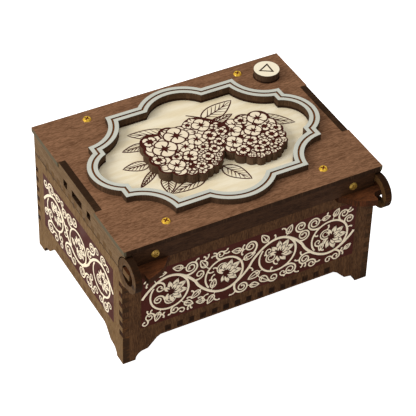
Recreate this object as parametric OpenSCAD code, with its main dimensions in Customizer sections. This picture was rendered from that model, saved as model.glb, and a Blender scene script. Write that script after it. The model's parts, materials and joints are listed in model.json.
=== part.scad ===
// Cylinder music box in laser-cut plywood: a hinged lid with a framed flower relief and a
// play button, over a chest with a wind-up comb movement in one corner.
// +X runs along the hinge, +Y from the hinge side to the opening side, +Z up.
// The origin is on the ground, under the middle of the whole object.

/* [Chest] */
// Outside width of the chest
chest_w = 158.8; // [150:0.2:170]
// Outside depth of the chest
chest_d = 113; // [110:1:118]
// Height of the four walls above the ground
chest_h = 69.8; // [69:0.1:70]
// Plywood thickness of walls, floor and rails
ply = 4; // [3.6:0.1:4.2]
// Underside of the floor above the ground
floor_z = 14.5; // [13.5:0.1:15]
// Height of the arch between the feet
arch_h = 13.2; // [10:0.2:13.4]

/* [Lid] */
// Outside width of the lid plate
lid_w = 160; // [159:0.2:172]
// Thickness of the lid plate
lid_t = 3; // [2:0.1:3.5]
// Overhang of the lid plate on the hinge side
lid_back_over = 4; // [3:0.1:4]
// Overhang of the lid plate on the opening side
lid_front_over = 1.7; // [0:0.1:3]
// Height of the lid plate's top face
lid_top = 87; // [86:0.1:90]
// Underside of the lid's inner plate
lid_bottom = 70; // [70:0.1:71]

/* [Hinge] */
// Outside radius of the round hinge ears
ear_r = 10.2; // [9:0.1:10.4]
// Radius of the hole in each ear
ear_hole_r = 6; // [6:0.05:6.4]
// Distance of the hinge axis behind the chest
pivot_back = 6.5; // [6.3:0.1:6.6]
// Height of the hinge axis
pivot_z = 72.3; // [72.2:0.1:72.5]
// Gap between an ear and the lid rail's round notch
ear_gap = 0.7; // [0.4:0.1:0.9]

/* [Ornament] */
// Half width of the frame between its end lobes
frame_half_w = 61; // [60:0.5:62]
// Half depth of the frame between its middle lobes
frame_half_d = 44; // [43:0.5:45]
// Width of the frame's band
frame_band = 6; // [5:0.1:7]
// Thickness of frame and flowers
relief_t = 4; // [3:0.1:4.5]
// Height of the lid's cream panel, sunk below the lid's top
panel_top = 85.4; // [85:0.1:86.9]

/* [Button] */
// Radius of the play button
button_r = 7.55; // [6.5:0.05:8]
// Distance of the button from the middle of the hinge
button_x = 63.3; // [62.8:0.1:63.8]
// Place of the button along the depth
button_y = 48.7; // [48.2:0.1:49]
// Height of the button's face above the lid
button_rise = 5; // [4:0.1:6]

/* [Movement] */
// Radius of the pinned cylinder
drum_r = 7; // [6.8:0.05:7.1]
// Number of comb teeth
comb_teeth = 18; // [12:1:18]
// Thickness of the comb teeth
tooth_t = 0.8; // [0.6:0.1:1]
// Number of pins round one track of the cylinder
track_pins = 6; // [3:1:7]

/* [Hidden] */

$fn = 64;
eps = 0.01;
// Depth is centred between the backs of the ears and the lid's opening edge
ear_reach = pivot_back + ear_r;
back_y = (ear_reach - chest_d - lid_front_over) / 2;
front_y = back_y + chest_d;
half_w = chest_w / 2;
floor_top = floor_z + ply;
lid_back = back_y - lid_back_over;
lid_front = front_y + lid_front_over;
lid_mid = (lid_back + lid_front) / 2;
plate_z = lid_top - lid_t;
inner_top = lid_bottom + ply;
rail_h = plate_z - lid_bottom;
pivot_y = back_y - pivot_back;
ear_end = pivot_y + ear_r + ear_gap;

wood = "#7b5a42";
dark_wood = "#4a3020";
pale_wood = "#e6d7b4";
frame_grey = "#c8c8be";
maroon = "#5a1a16";
gold = "gold";
steel = "silver";
brass = "#c9a24a";

// Finger joints of the corners and tenons of the floor
finger_pitch = 7.3;
finger_h = 3.65;
finger_z0 = 20.6;
finger_n = 6;
tenon_pitch = 7.35;
tenon_l = 3.6;
floor_tenons_x = 15;
floor_tenons_y = 9;
lid_tenon_pitch = 7.4;
lid_tenons = 12;
lid_tenon_mid = 5.4;

// Decorated panels let into the walls
inlay_t = 0.8;
inlay_z0 = 22.8;
inlay_z1 = 62.6;
inlay_half_x = 68;
inlay_y0 = -38.2;
inlay_y1 = 53.4;

// Dividers
divider_x = 8;
divider_y = 1;
divider_top = 64;

// ---------- Shared outlines ----------

// One bracket foot's side of the arch, from its toe to the apron; u runs inwards from the corner
module arch_end(height) {
    intersection() {
        translate([13.4, 0]) circle(r = 5.6);
        translate([7, 0]) square([8, height]);
    }
    polygon([[13.4, 0], [13.4, 5.6], [15.6, 6], [21, height - 1.4], [23.4, height],
        [25, height], [25, 0]]);
}

module arch(length, height) {
    arch_end(height);
    translate([length, 0]) mirror([1, 0]) arch_end(height);
    translate([24, 0]) square([length - 48, height]);
    translate([6, -1]) square([length - 12, 1 + eps]);
}

module fingers(x0, width, extra = 0) {
    for (k = [0 : finger_n - 1])
        translate([x0, finger_z0 + k * finger_pitch]) square([width, finger_h + extra]);
}

module row_of(count, pitch, length, height) {
    for (k = [0 : count - 1])
        translate([(k - (count - 1) / 2) * pitch - length / 2, 0]) square([length, height]);
}

// Upright plate in the Y-Z plane, drawn in (y, z), from x = x0 and t thick
module yz_plate(x0, t) {
    translate([x0, 0, 0]) rotate([90, 0, 90]) linear_extrude(t) children();
}

// Upright plate in the X-Z plane, drawn in (x, z), from y = y0 and t thick
module xz_plate(y0, t) {
    translate([0, y0 + t, 0]) rotate([90, 0, 0]) linear_extrude(t) children();
}

// ---------- Chest ----------

module side_outline() {
    difference() {
        union() {
            translate([back_y, 0]) square([chest_d, chest_h]);
            translate([pivot_y, pivot_z]) circle(r = ear_r);
            polygon([[pivot_y + 1, pivot_z - ear_r + eps], [back_y + 1, pivot_z - ear_r - 2.2],
                [back_y + 1, pivot_z - 4], [pivot_y + 1, pivot_z - 4]]);
        }
        translate([pivot_y, pivot_z]) circle(r = ear_hole_r);
        translate([back_y, 0]) arch(chest_d, arch_h);
        fingers(back_y - eps, ply + eps);
        fingers(front_y - ply, ply + eps);
        translate([(back_y + front_y) / 2, floor_z])
            row_of(floor_tenons_y, tenon_pitch, tenon_l, ply);
    }
}

module side(s) {
    difference() {
        yz_plate(s < 0 ? -half_w : half_w - ply, ply) side_outline();
        translate([s < 0 ? -half_w - 1 : half_w - inlay_t, inlay_y0, inlay_z0])
            cube([1 + inlay_t, inlay_y1 - inlay_y0, inlay_z1 - inlay_z0]);
    }
}

module wall_outline() {
    difference() {
        union() {
            translate([ply - half_w, 0]) square([chest_w - 2 * ply, chest_h]);
            fingers(-half_w, ply + eps);
            fingers(half_w - ply - eps, ply + eps);
        }
        translate([-half_w, 0]) arch(chest_w, arch_h);
        translate([0, floor_z]) row_of(floor_tenons_x, tenon_pitch, tenon_l, ply);
    }
}

module wall(y0, pocket_y) {
    difference() {
        xz_plate(y0, ply) wall_outline();
        translate([-inlay_half_x, pocket_y, inlay_z0])
            cube([2 * inlay_half_x, inlay_t + 1, inlay_z1 - inlay_z0]);
    }
}

module left_side() { color(wood) side(-1); }
module right_side() { color(wood) side(1); }
module rear_panel() { color(wood) wall(back_y, back_y - 1); }
module front_panel() { color(wood) wall(front_y - ply, front_y - inlay_t); }

module floor_plate() {
    color(wood) difference() {
        translate([0, 0, floor_z]) linear_extrude(ply) {
            translate([ply - half_w, back_y + ply]) square([chest_w - 2 * ply, chest_d - 2 * ply]);
            translate([0, back_y]) row_of(floor_tenons_x, tenon_pitch, tenon_l, ply + eps);
            translate([0, front_y - ply - eps])
                row_of(floor_tenons_x, tenon_pitch, tenon_l, ply + eps);
            for (x = [-half_w, half_w - ply - eps])
                translate([x, (back_y + front_y) / 2]) rotate(90) mirror([0, 1])
                    row_of(floor_tenons_y, tenon_pitch, tenon_l, ply + eps);
        }
        translate([barrel_x, axis_y, floor_z - 1]) cylinder(r = 4, h = ply + 2);
        for (p = bed_screw_points)
            translate([p[0], p[1], floor_z - 1]) cylinder(r = screw_r, h = ply + 2);
    }
}

module flat_inlay_x(y0) {
    translate([-inlay_half_x, y0, inlay_z0])
        cube([2 * inlay_half_x, inlay_t, inlay_z1 - inlay_z0]);
}

module flat_inlay_y(x0) {
    translate([x0, inlay_y0, inlay_z0])
        cube([inlay_t, inlay_y1 - inlay_y0, inlay_z1 - inlay_z0]);
}

module rear_inlay() { color(maroon) flat_inlay_x(back_y); }
module front_inlay() { color(maroon) flat_inlay_x(front_y - inlay_t); }
module left_inlay() { color(maroon) flat_inlay_y(-half_w); }
module right_inlay() { color(maroon) flat_inlay_y(half_w - inlay_t); }

module long_divider() {
    color(wood) translate([divider_x, back_y + ply, floor_top])
        cube([ply, chest_d - 2 * ply, divider_top - floor_top]);
}

module cross_divider() {
    color(wood) translate([divider_x + ply, divider_y, floor_top])
        cube([half_w - 2 * ply - divider_x, ply, divider_top - floor_top]);
}

// ---------- Lid ----------

tab_mid = 6.65;
tab_l = 47;
tab_rise = 0.15;
side_gap = 0.3;   // between the ears and what turns beside them
hole_z = inner_top + 1.1;
hole_h = 4.8;

// Cartouche outline, moved inwards by d: a plate with hollow corners and four round lobes
module cartouche(d) {
    difference() {
        square([2 * (frame_half_w - d), 2 * (frame_half_d - d)], center = true);
        for (x = [-1, 1]) for (y = [-1, 1])
            translate([x * (frame_half_w + 0.5), y * (frame_half_d + 0.5)])
                circle(r = 20.5 + d);
    }
    for (y = [-1, 1]) translate([0, y * (frame_half_d - 18.6)]) circle(r = 27.6 - d);
    for (x = [-1, 1]) translate([x * (frame_half_w - 11), 0]) circle(r = 21 - d);
}

module lid_plate() {
    color(wood) difference() {
        translate([-lid_w / 2, lid_back, plate_z]) cube([lid_w, lid_front - lid_back, lid_t]);
        for (s = [-1, 1])
            translate([s < 0 ? -half_w - 1 : half_w - ply, tab_mid - tab_l / 2, plate_z - 1])
                cube([ply + 1, tab_l, lid_t + 2]);
        translate([0, lid_mid, plate_z - 1]) linear_extrude(lid_t + 2) cartouche(frame_band);
        translate([button_x, button_y, plate_z - 1]) cylinder(r = button_r + 0.3, h = lid_t + 2);
        for (p = lid_screw_points)
            translate([p[0], p[1], plate_z - 1]) cylinder(r = screw_r, h = lid_t + 2);
    }
}

// Left end of the inner plate, from the hinge edge round a bracket that flares out below the
// hinge rail and the tenon that turns in the ear, then past the ear to the opening side
bracket = [[27, 0], [27, -3.6], [24.6, -5], [22.4, -8], [19.4, -10.9], [15.2, -13.2],
    [10.7, -14.9], [8.4, -15.6], [7.8, -14], [8, -11], [6.6, -9]];
inner_end = concat(bracket, [[ply + side_gap, -8.5], [0, -8.5], [0, -1.1],
    [ply + side_gap, -1.1], [ply + side_gap, ear_end - back_y], [ply, ear_end - back_y],
    [ply, chest_d - ply]]);

module lid_inner_plate() {
    last = len(inner_end) - 1;
    color(dark_wood) difference() {
        translate([0, 0, lid_bottom]) linear_extrude(ply) {
            translate([0, back_y]) polygon(concat([for (p = inner_end) [half_w - p[0], p[1]]],
                [for (k = [last : -1 : 0]) [inner_end[k][0] - half_w, inner_end[k][1]]]));
            for (s = [-1, 1]) translate([s * (half_w - ply), lid_tenon_mid]) rotate(90)
                mirror([0, s < 0 ? 0 : 1]) translate([0, -0.5])
                    row_of(lid_tenons, lid_tenon_pitch, tenon_l, ply + 0.5);
        }
        translate([button_x, button_y, lid_bottom - 1]) cylinder(r = stem_r + 0.08, h = ply + 2);
    }
}

module rail_outline() {
    difference() {
        union() {
            translate([lid_back, lid_bottom]) square([front_y - lid_back, rail_h]);
            translate([tab_mid - tab_l / 2, plate_z - eps])
                square([tab_l, lid_t + tab_rise + eps]);
        }
        translate([pivot_y, pivot_z]) circle(r = ear_r + ear_gap);
        translate([lid_tenon_mid, lid_bottom])
            row_of(lid_tenons, lid_tenon_pitch, tenon_l, ply);
        translate([tab_mid - 6, hole_z]) square([12.6, hole_h]);
        for (y = [-17.2, 12.8]) translate([tab_mid + y, hole_z]) square([4.8, hole_h]);
    }
}

module lid_left_rail() { color(wood) yz_plate(-half_w, ply) rail_outline(); }
module lid_right_rail() { color(wood) yz_plate(half_w - ply, ply) rail_outline(); }

module lid_hinge_rail() {
    color(dark_wood) difference() {
        translate([ply + side_gap - half_w, lid_back, inner_top])
            cube([chest_w - 2 * (ply + side_gap), lid_back_over, plate_z - inner_top]);
        for (x = rail_screw_x) translate([x, lid_back - 1, rail_screw_z]) rotate([-90, 0, 0])
            cylinder(r = screw_r, h = ply + 2);
    }
}

module lid_front_rail() {
    color(wood) translate([ply - half_w, front_y - ply, lid_bottom])
        cube([chest_w - 2 * ply, ply, rail_h]);
}

screw_r = 1.5;
screw_head_r = 2.45;
screw_head_h = 0.9;
lid_screw_points = [[-48.8, 58], [-48.8, -40.6], [48.9, 57.7], [48.9, -40.7]];
rail_screw_x = [-61.5, 61.5];
rail_screw_z = (inner_top + plate_z) / 2;
spacer_w = 9;
block_d = 9;

// Blocks between the lid's two plates that take the lid screws and the rail screws
module lid_spacers() {
    h = plate_z - inner_top;
    color(wood) difference() {
        union() {
            for (p = lid_screw_points) translate([p[0] - spacer_w / 2, p[1] - 3.6, inner_top])
                cube([spacer_w, 5.5, h]);
            for (x = rail_screw_x) translate([x - spacer_w / 2, back_y, inner_top])
                cube([spacer_w, block_d, h]);
        }
        for (p = lid_screw_points) translate([p[0], p[1], inner_top + 2])
            cylinder(r = screw_r, h = h);
        for (x = rail_screw_x) translate([x, back_y - 1, rail_screw_z]) rotate([-90, 0, 0])
            cylinder(r = screw_r, h = block_d - 1);
    }
}

// Cross-head screw standing on z = 0, its shank pointing down
module screw(length) {
    difference() {
        union() {
            cylinder(r1 = screw_head_r, r2 = screw_head_r - 0.5, h = screw_head_h);
            translate([0, 0, -length]) cylinder(r = screw_r, h = length);
        }
        for (a = [0, 90]) rotate(a) translate([-1.6, -0.42, screw_head_h - 0.4])
            cube([3.2, 0.84, 1]);
    }
}

module lid_screws() {
    color(gold) for (p = lid_screw_points)
        translate([p[0], p[1], lid_top]) rotate(p[0]) screw(lid_top - inner_top - 2.5);
}

module rail_screws() {
    color(gold) for (x = rail_screw_x)
        translate([x, lid_back, rail_screw_z]) rotate([90, 0, 0]) rotate(30) screw(11);
}

module ornament_panel() {
    color(pale_wood) translate([0, lid_mid, panel_top - lid_t])
        linear_extrude(lid_t) cartouche(frame_band);
}

module ornament_frame() {
    color(frame_grey) translate([0, lid_mid, lid_top]) difference() {
        linear_extrude(relief_t) difference() {
            cartouche(0);
            cartouche(frame_band);
        }
        translate([0, 0, relief_t - 0.6]) linear_extrude(2) difference() {
            cartouche(frame_band / 2 - 0.6);
            cartouche(frame_band / 2 + 0.6);
        }
    }
}

// Scalloped outline of one flower head: big petals on the side it leans to, small ones opposite
module flower_head(reach, petals, petal_r, lean) {
    circle(r = reach - 0.5 * petal_r);
    for (k = [0 : petals - 1]) {
        turn = k * 360 / petals;
        r = petal_r * (1 + 0.45 * cos(turn));
        rotate(lean + turn + 0.45 * 180 / PI * sin(turn))
            translate([reach - r + 0.5 * sin(k * 137.5), 0]) circle(r = r);
    }
}

// The left head carries three buds of the spray between the heads
module left_head() {
    translate([-14.5, -2.3]) flower_head(22.6, 17, 4.4, 125);
    translate([1.5, 13.5]) circle(r = 8.4);
    translate([10, 6]) circle(r = 7.6);
    translate([4, 0]) circle(r = 10);
    translate([-27.5, 11.5]) circle(r = 7.2);
}

module right_head() {
    translate([25.6, -7.4]) flower_head(20, 17, 3.9, 110);
    translate([36.5, 5]) circle(r = 7);
}

module flower_left() {
    color(pale_wood) translate([0, lid_mid, panel_top])
        linear_extrude(lid_top + relief_t - panel_top) left_head();
}

module flower_right() {
    color(pale_wood) translate([0, lid_mid, panel_top])
        linear_extrude(lid_top + relief_t - 0.3 - panel_top) difference() {
            right_head();
            left_head();
        }
}

// ---------- Play button ----------

button_top = lid_top + button_rise;
disc_t = 4;
stem_r = 2.5;
stem_bottom = 53.8;
collar_r = 9.5;
collar_top = plate_z - 0.15;
collar_t = 2.6;
mark_r = 5.4;

module at_button(z) { translate([button_x, button_y, z]) children(); }

module button_cap() {
    color(pale_wood) at_button(button_top - disc_t) difference() {
        cylinder(r = button_r, h = disc_t);
        translate([0, 0, disc_t - 0.5]) rotate(58) linear_extrude(1) difference() {
            circle(r = mark_r, $fn = 3);
            circle(r = mark_r - 2, $fn = 3);
        }
    }
}

module button_disc() {
    color(dark_wood) at_button(collar_top)
        cylinder(r = button_r, h = button_top - disc_t - collar_top);
}

module button_collar() {
    color(wood) at_button(collar_top - collar_t) cylinder(r = collar_r, h = collar_t);
}

module button_stem() {
    color(wood) at_button(stem_bottom) {
        cylinder(r1 = 0.6, r2 = 1, h = 0.8);
        translate([0, 0, 0.8]) cylinder(r = 1, h = 3.2);
        translate([0, 0, 4]) cylinder(r = stem_r, h = collar_top - collar_t - stem_bottom - 4);
    }
}

spring_wire = 0.35;
spring_r = 3.6;
spring_rings = 5;

// Coil spring round the stem, drawn as its turns
module button_spring() {
    low = inner_top + 0.1 + spring_wire;
    high = collar_top - collar_t - 0.1 - spring_wire;
    color(steel) for (k = [0 : spring_rings - 1])
        at_button(low + k * (high - low) / (spring_rings - 1)) rotate_extrude($fn = 32)
            translate([spring_r, 0]) circle(r = spring_wire, $fn = 16);
}

// ---------- Movement: frame ----------

axis_y = 34;      // cylinder axis along the depth
axis_z = 36;      // cylinder axis above the ground
bed_t = 3;
bed_z = floor_top;
bed_top = bed_z + bed_t;
bed_x0 = 13;
bed_x1 = 70.6;
bed_y0 = 9.5;
bed_y1 = 57;
bed_screw_points = [[16, 13], [68, 12.5], [16, 53.5], [68, 53.5]];

drum_x0 = 35;
drum_x1 = 57;
barrel_x = 22.6;
wheel_x = 58;
left_bearing_x = 32.4;
right_bearing_x = 60.2;
bearing_t = 1.5;
arbor_r = 1;
fit = 0.05;

wheel_n = 48;
idler_n = 12;
spur_m = 0.32;
idler_y = axis_y - (wheel_n + idler_n) * spur_m / 2;
crown_n = 40;
pinion_n = 20;
pinion_m = 0.4;
crown_r = 8;
worm_wheel_n = 20;
worm_wheel_r = 5;
worm_lead = 2 * PI * worm_wheel_r / worm_wheel_n;
governor_x = 63.6;
governor_y = idler_y - 6.5;
idler_r = 0.8;
governor_r = 0.8;

comb_y = 50;
comb_y1 = 56;
comb_t = 1.5;
pin_rise = 0.5;
comb_tip_y = axis_y + drum_r + pin_rise + 0.15;
comb_x0 = 34;
comb_x1 = 58;
comb_pitch = (drum_x1 - drum_x0 - 1.6) / comb_teeth;

function track_x(k) = drum_x0 + 0.8 + (k + 0.5) * comb_pitch;

module bedplate() {
    color(brass) difference() {
        union() {
            translate([bed_x0, bed_y0, bed_z]) cube([bed_x1 - bed_x0, bed_y1 - bed_y0, bed_t]);
            translate([comb_x0, comb_y, bed_top - eps])
                cube([comb_x1 - comb_x0, comb_y1 - comb_y, axis_z - bed_top + eps]);
        }
        translate([barrel_x, axis_y, bed_z - 1]) cylinder(r = 1.5 + fit, h = bed_t + 2);
        for (p = bed_screw_points) translate([p[0], p[1], bed_z - 1])
            cylinder(r = screw_r, h = bed_t + 2);
        for (x = comb_screw_x) translate([x, (comb_y + comb_y1) / 2, axis_z - 6])
            cylinder(r = 1, h = 7);
        translate([click_x, click_y, bed_top - 1.4]) cylinder(r = 0.6 + fit, h = 2, $fn = 32);
    }
}

comb_screw_x = [37, 46, 55];

module bedplate_screws() {
    color(steel) for (p = bed_screw_points)
        translate([p[0], p[1], floor_z]) rotate([180, 0, 0]) screw(bed_top - floor_z - 0.5);
}

module comb() {
    color(steel) difference() {
        union() {
            translate([comb_x0, comb_y, axis_z]) cube([comb_x1 - comb_x0, comb_y1 - comb_y, comb_t]);
            for (k = [0 : comb_teeth - 1])
                translate([track_x(k) - comb_pitch * 0.36, comb_tip_y, axis_z])
                    cube([comb_pitch * 0.72, comb_y - comb_tip_y + eps, tooth_t]);
        }
        for (x = comb_screw_x) translate([x, (comb_y + comb_y1) / 2, axis_z - 1])
            cylinder(r = 1, h = 5);
    }
}

module comb_screws() {
    color(gold) for (x = comb_screw_x)
        translate([x, (comb_y + comb_y1) / 2, axis_z + comb_t]) {
            difference() {
                cylinder(r = 2, h = 1.1);
                translate([-3, -0.3, 0.6]) cube([6, 0.6, 1]);
            }
            translate([0, 0, -5]) cylinder(r = 1, h = 5);
        }
}

module bearing_plate(x0, y0, y1, top) {
    yz_plate(x0, bearing_t) translate([y0, bed_top]) square([y1 - y0, top - bed_top]);
}

module x_bore(y, z, r) {
    translate([20, y, z]) rotate([0, 90, 0]) cylinder(r = r, h = 60, $fn = 32);
}

module left_bearing() {
    color(brass) difference() {
        bearing_plate(left_bearing_x, axis_y - 5, axis_y + 5, axis_z + 4);
        x_bore(axis_y, axis_z, arbor_r + fit);
    }
}

module right_bearing() {
    color(brass) difference() {
        bearing_plate(right_bearing_x, idler_y - 4, axis_y + 5, axis_z + 4);
        x_bore(axis_y, axis_z, arbor_r + fit);
        x_bore(idler_y, axis_z, idler_r + fit);
    }
}

bridge_z = 33.4;
post_r = 1.6;
post_y = 11.8;

module barrel_bridge() {
    color(brass) difference() {
        union() {
            translate([barrel_x - 2.4, axis_y - post_y - 2, bridge_z])
                cube([4.8, 2 * post_y + 4, 1.6]);
            for (s = [-1, 1]) translate([barrel_x, axis_y + s * post_y, bed_top])
                cylinder(r = post_r, h = bridge_z - bed_top + eps);
        }
        translate([barrel_x, axis_y, bridge_z - 1]) cylinder(r = 1.5 + fit, h = 4);
    }
}

shelf_low = 27;
shelf_high = 42;
shelf_t = 1.5;
governor_plate_x = 66.5;

module governor_frame() {
    color(brass) difference() {
        union() {
            translate([governor_plate_x, governor_y - 5.5, bed_top])
                cube([bearing_t, 18, shelf_high + shelf_t - bed_top]);
            for (z = [shelf_low, shelf_high])
                translate([governor_x - 1.8, governor_y - 4, z])
                    cube([governor_plate_x - governor_x + 1.8 + eps, 8, shelf_t]);
        }
        translate([governor_x, governor_y, bed_top]) cylinder(r = governor_r + fit, h = 30, $fn = 32);
        translate([governor_plate_x - 1, idler_y, axis_z]) rotate([0, 90, 0])
            cylinder(r = idler_r + fit, h = 4, $fn = 32);
    }
}

lever_z = 52;
lever_y = 34;
lever_top = lever_z + 1.6;
post_x = 66.2;
pin_r = 0.75;

module lever_post() {
    color(brass) difference() {
        translate([post_x, lever_y - 2.5, bed_top]) cube([2, 5, lever_z + 3 - bed_top]);
        translate([post_x - 1, lever_y, lever_z]) rotate([0, 90, 0])
            cylinder(r = pin_r, h = 4, $fn = 32);
    }
}

module lever_pin() {
    color(steel) translate([61.8, lever_y, lever_z]) rotate([0, 90, 0])
        cylinder(r = pin_r, h = post_x + 2 - 61.8, $fn = 32);
}

brake_y = governor_y + 2.8;
brake_gap = 0.15;

// Rocking lever: the button presses its round pad, its far end lifts off the brake disc
module stop_lever() {
    color(steel) difference() {
        union() {
            translate([62.2, lever_y, lever_z]) rotate([0, 90, 0]) cylinder(r = 2, h = 3.4);
            translate([62.6, governor_y + 1.8, lever_top - 1])
                cube([2.4, button_y - governor_y - 1.8, 1]);
            translate([button_x, button_y, lever_top - 1]) cylinder(r = 3.2, h = 1);
            translate([governor_x - 1.2, brake_y - 0.8, brake_top + brake_gap])
                cube([2.4, 1.8, lever_top - brake_top - brake_gap]);
        }
        translate([60, lever_y, lever_z]) rotate([0, 90, 0])
            cylinder(r = pin_r + fit, h = 8, $fn = 32);
    }
}

// ---------- Movement: wheels ----------

// Involute profile; thin narrows each tooth at the pitch circle
function inv(a) = tan(a) * 180 / PI - a;
function flank(rb, r) = r <= rb ? 0 : inv(acos(rb / r));

module gear_outline(n, m, thin, add = 0.9, ded = 1.15, pa = 22) {
    rp = n * m / 2;
    rb = rp * cos(pa);
    ra = rp + add * m;
    rf = rp - ded * m;
    half = 90 / n - thin / 2 / rp * 180 / PI + inv(pa);
    radii = [rf, max(rf, rb), (max(rf, rb) + rp) / 2, rp, (rp + ra) / 2, ra];
    up = [for (r = radii) [r, half - flank(rb, r)]];
    tooth = concat([for (p = up) [p[0], -p[1]]], [for (k = [5 : -1 : 0]) up[k]]);
    polygon([for (t = [0 : n - 1]) for (p = tooth)
        [p[0] * cos(p[1] + t * 360 / n), p[0] * sin(p[1] + t * 360 / n)]]);
}

module x_wheel(x, y, width, bore) {
    translate([x, y, axis_z]) rotate([90, 0, 90]) difference() {
        linear_extrude(width) children();
        translate([0, 0, -1]) cylinder(r = bore, h = width + 2, $fn = 32);
    }
}

module cylinder_drum() {
    color(brass) translate([drum_x0, axis_y, axis_z]) rotate([0, 90, 0]) difference() {
        cylinder(r = drum_r, h = drum_x1 - drum_x0);
        translate([0, 0, -1]) cylinder(r = drum_r - 0.8, h = drum_x1 - drum_x0 + 2);
    }
}

module cylinder_caps() {
    color(brass) for (x = [drum_x0 + 0.3, drum_x1 - 1.5]) translate([x, axis_y, axis_z])
        rotate([0, 90, 0]) difference() {
            cylinder(r = drum_r - 0.8, h = 1.2);
            translate([0, 0, -1]) cylinder(r = arbor_r, h = 4, $fn = 32);
        }
}

// Melody pins: on each track they stand at uneven angles that follow the golden angle
module cylinder_pins() {
    color(steel) for (k = [0 : comb_teeth - 1]) for (j = [0 : track_pins - 1])
        translate([track_x(k), axis_y, axis_z])
            rotate([k * 137.5 + j * 360 / track_pins + 25 * sin(k * 71 + j * 113) + 11, 0, 0])
                translate([0, 0, drum_r - 0.4]) cylinder(r = 0.22, h = pin_rise + 0.4, $fn = 16);
}

module cylinder_arbor() {
    color(steel) translate([29.8, axis_y, axis_z]) rotate([0, 90, 0])
        cylinder(r = arbor_r, h = 62.1 - 29.8, $fn = 32);
}

module cylinder_pinion() {
    color(brass) x_wheel(barrel_x + crown_r - 0.4, axis_y, 0.8, arbor_r)
        rotate(90 + 180 / pinion_n) gear_outline(pinion_n, pinion_m, 0.16, 0.8, 1.2);
}

module cylinder_wheel() {
    color(brass) x_wheel(wheel_x, axis_y, 1.2, arbor_r)
        gear_outline(wheel_n, spur_m, 0.12);
}

module idler_arbor() {
    color(steel) translate([57.4, idler_y, axis_z]) rotate([0, 90, 0])
        cylinder(r = idler_r, h = 68.2 - 57.4, $fn = 32);
}

module idler_pinion() {
    color(steel) x_wheel(wheel_x - 0.2, idler_y, 1.6, idler_r)
        rotate(180 / idler_n) gear_outline(idler_n, spur_m, 0.12);
}

// Worm wheel with narrow teeth that run in the worm's single thread
module worm_wheel() {
    root_r = worm_wheel_r - 0.6;
    tip_r = worm_wheel_r + 0.3;
    color(brass) x_wheel(governor_x - 0.35, idler_y, 0.7, idler_r) {
        circle(r = root_r);
        for (t = [0 : worm_wheel_n - 1]) rotate(t * 360 / worm_wheel_n)
            polygon([[root_r - 0.2, -0.34], [worm_wheel_r, -0.19], [tip_r, -0.08],
                [tip_r, 0.08], [worm_wheel_r, 0.19], [root_r - 0.2, 0.34]]);
    }
}

barrel_z0 = 23.6;
barrel_top = axis_z - pinion_m * pinion_n / 2 - 0.5;
barrel_r = 9.2;
crown_add = 0.32;

module at_barrel(z) { translate([barrel_x, axis_y, z]) children(); }

// Spring barrel: a cup, open below, with a crown of radial teeth on its top face
module barrel_drum() {
    pitch_z = axis_z - pinion_m * pinion_n / 2;
    color(brass) at_barrel(0) {
        difference() {
            translate([0, 0, barrel_z0 + 1]) cylinder(r = barrel_r, h = barrel_top - barrel_z0 - 1);
            translate([0, 0, barrel_z0]) cylinder(r = barrel_r - 1, h = barrel_top - barrel_z0 - 1);
            cylinder(r = 1.5 + fit, h = 60);
        }
        for (t = [0 : crown_n - 1]) rotate(t * 360 / crown_n)
            translate([crown_r - 0.6, 0, 0]) rotate([90, 0, 90]) linear_extrude(1.2)
                polygon([[-0.27, barrel_top - eps], [-0.1, pitch_z + crown_add],
                    [0.1, pitch_z + crown_add], [0.27, barrel_top - eps]]);
    }
}

module barrel_cap() {
    color(brass) at_barrel(barrel_z0) difference() {
        cylinder(r = barrel_r, h = 1);
        translate([0, 0, -1]) cylinder(r = 1.5 + fit, h = 3);
    }
}

// Mainspring: a flat steel strip wound from the arbor's collar out to the barrel wall
module mainspring() {
    turns = 7;
    r0 = 2.4;
    r1 = barrel_r - 1.5;
    steps = turns * 18;
    path = [for (k = [0 : steps]) [r0 + (r1 - r0) * k / steps, k * 360 / 18]];
    color(steel) at_barrel(barrel_z0 + 1.4) linear_extrude(4.6) polygon(concat(
        [for (p = path) [p[0] * cos(p[1]), p[0] * sin(p[1])]],
        [for (k = [steps : -1 : 0])
            [(path[k][0] + 0.25) * cos(path[k][1]), (path[k][0] + 0.25) * sin(path[k][1])]]));
}

ratchet_n = 12;
ratchet_r = 6.4;
ratchet_z = 22.1;

module winding_arbor() {
    color(steel) at_barrel(5) cylinder(r = 1.5, h = bridge_z + 1.4 - 5, $fn = 32);
}

module ratchet_wheel() {
    color(steel) at_barrel(ratchet_z) difference() {
        rotate(-6) linear_extrude(1) polygon([for (t = [0 : ratchet_n - 1]) for (q = [0, 1])
            [(ratchet_r - q) * cos((t + q * 0.02) * 360 / ratchet_n),
                (ratchet_r - q) * sin((t + q * 0.02) * 360 / ratchet_n)]]);
        translate([0, 0, -1]) cylinder(r = 1.5, h = 3, $fn = 32);
    }
}

// Two-winged winding key under the floor
module winding_key() {
    color(brass) at_barrel(0) difference() {
        union() {
            translate([0, 0, 3.4]) cylinder(r = 3, h = 9);
            rotate([90, 0, 0]) translate([0, 0, -0.9]) linear_extrude(1.8) {
                for (s = [-1, 1]) translate([s * 8, 7.4]) circle(r = 4.9);
                translate([-8, 4.4]) square([16, 6]);
            }
        }
        for (s = [-1, 1]) translate([s * 8.6, 5, 7.4]) rotate([90, 0, 0]) cylinder(r = 1.9, h = 10);
        translate([0, 0, 5]) cylinder(r = 1.5, h = 20, $fn = 32);
    }
}

click_x = barrel_x + 8.6;
click_y = axis_y - 8;

// Pawl that drops into the ratchet wheel and keeps the mainspring wound
module click() {
    color(steel) translate([click_x, click_y, ratchet_z]) {
        cylinder(r = 1.3, h = 1, $fn = 32);
        translate([0, 0, bed_top - ratchet_z - 1.2]) cylinder(r = 0.6, h = 2, $fn = 32);
        linear_extrude(1) polygon([[0.9, 0.9], [-5.45, 3.1], [-5, 2.4], [-0.5, -1.1]]);
    }
}

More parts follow.
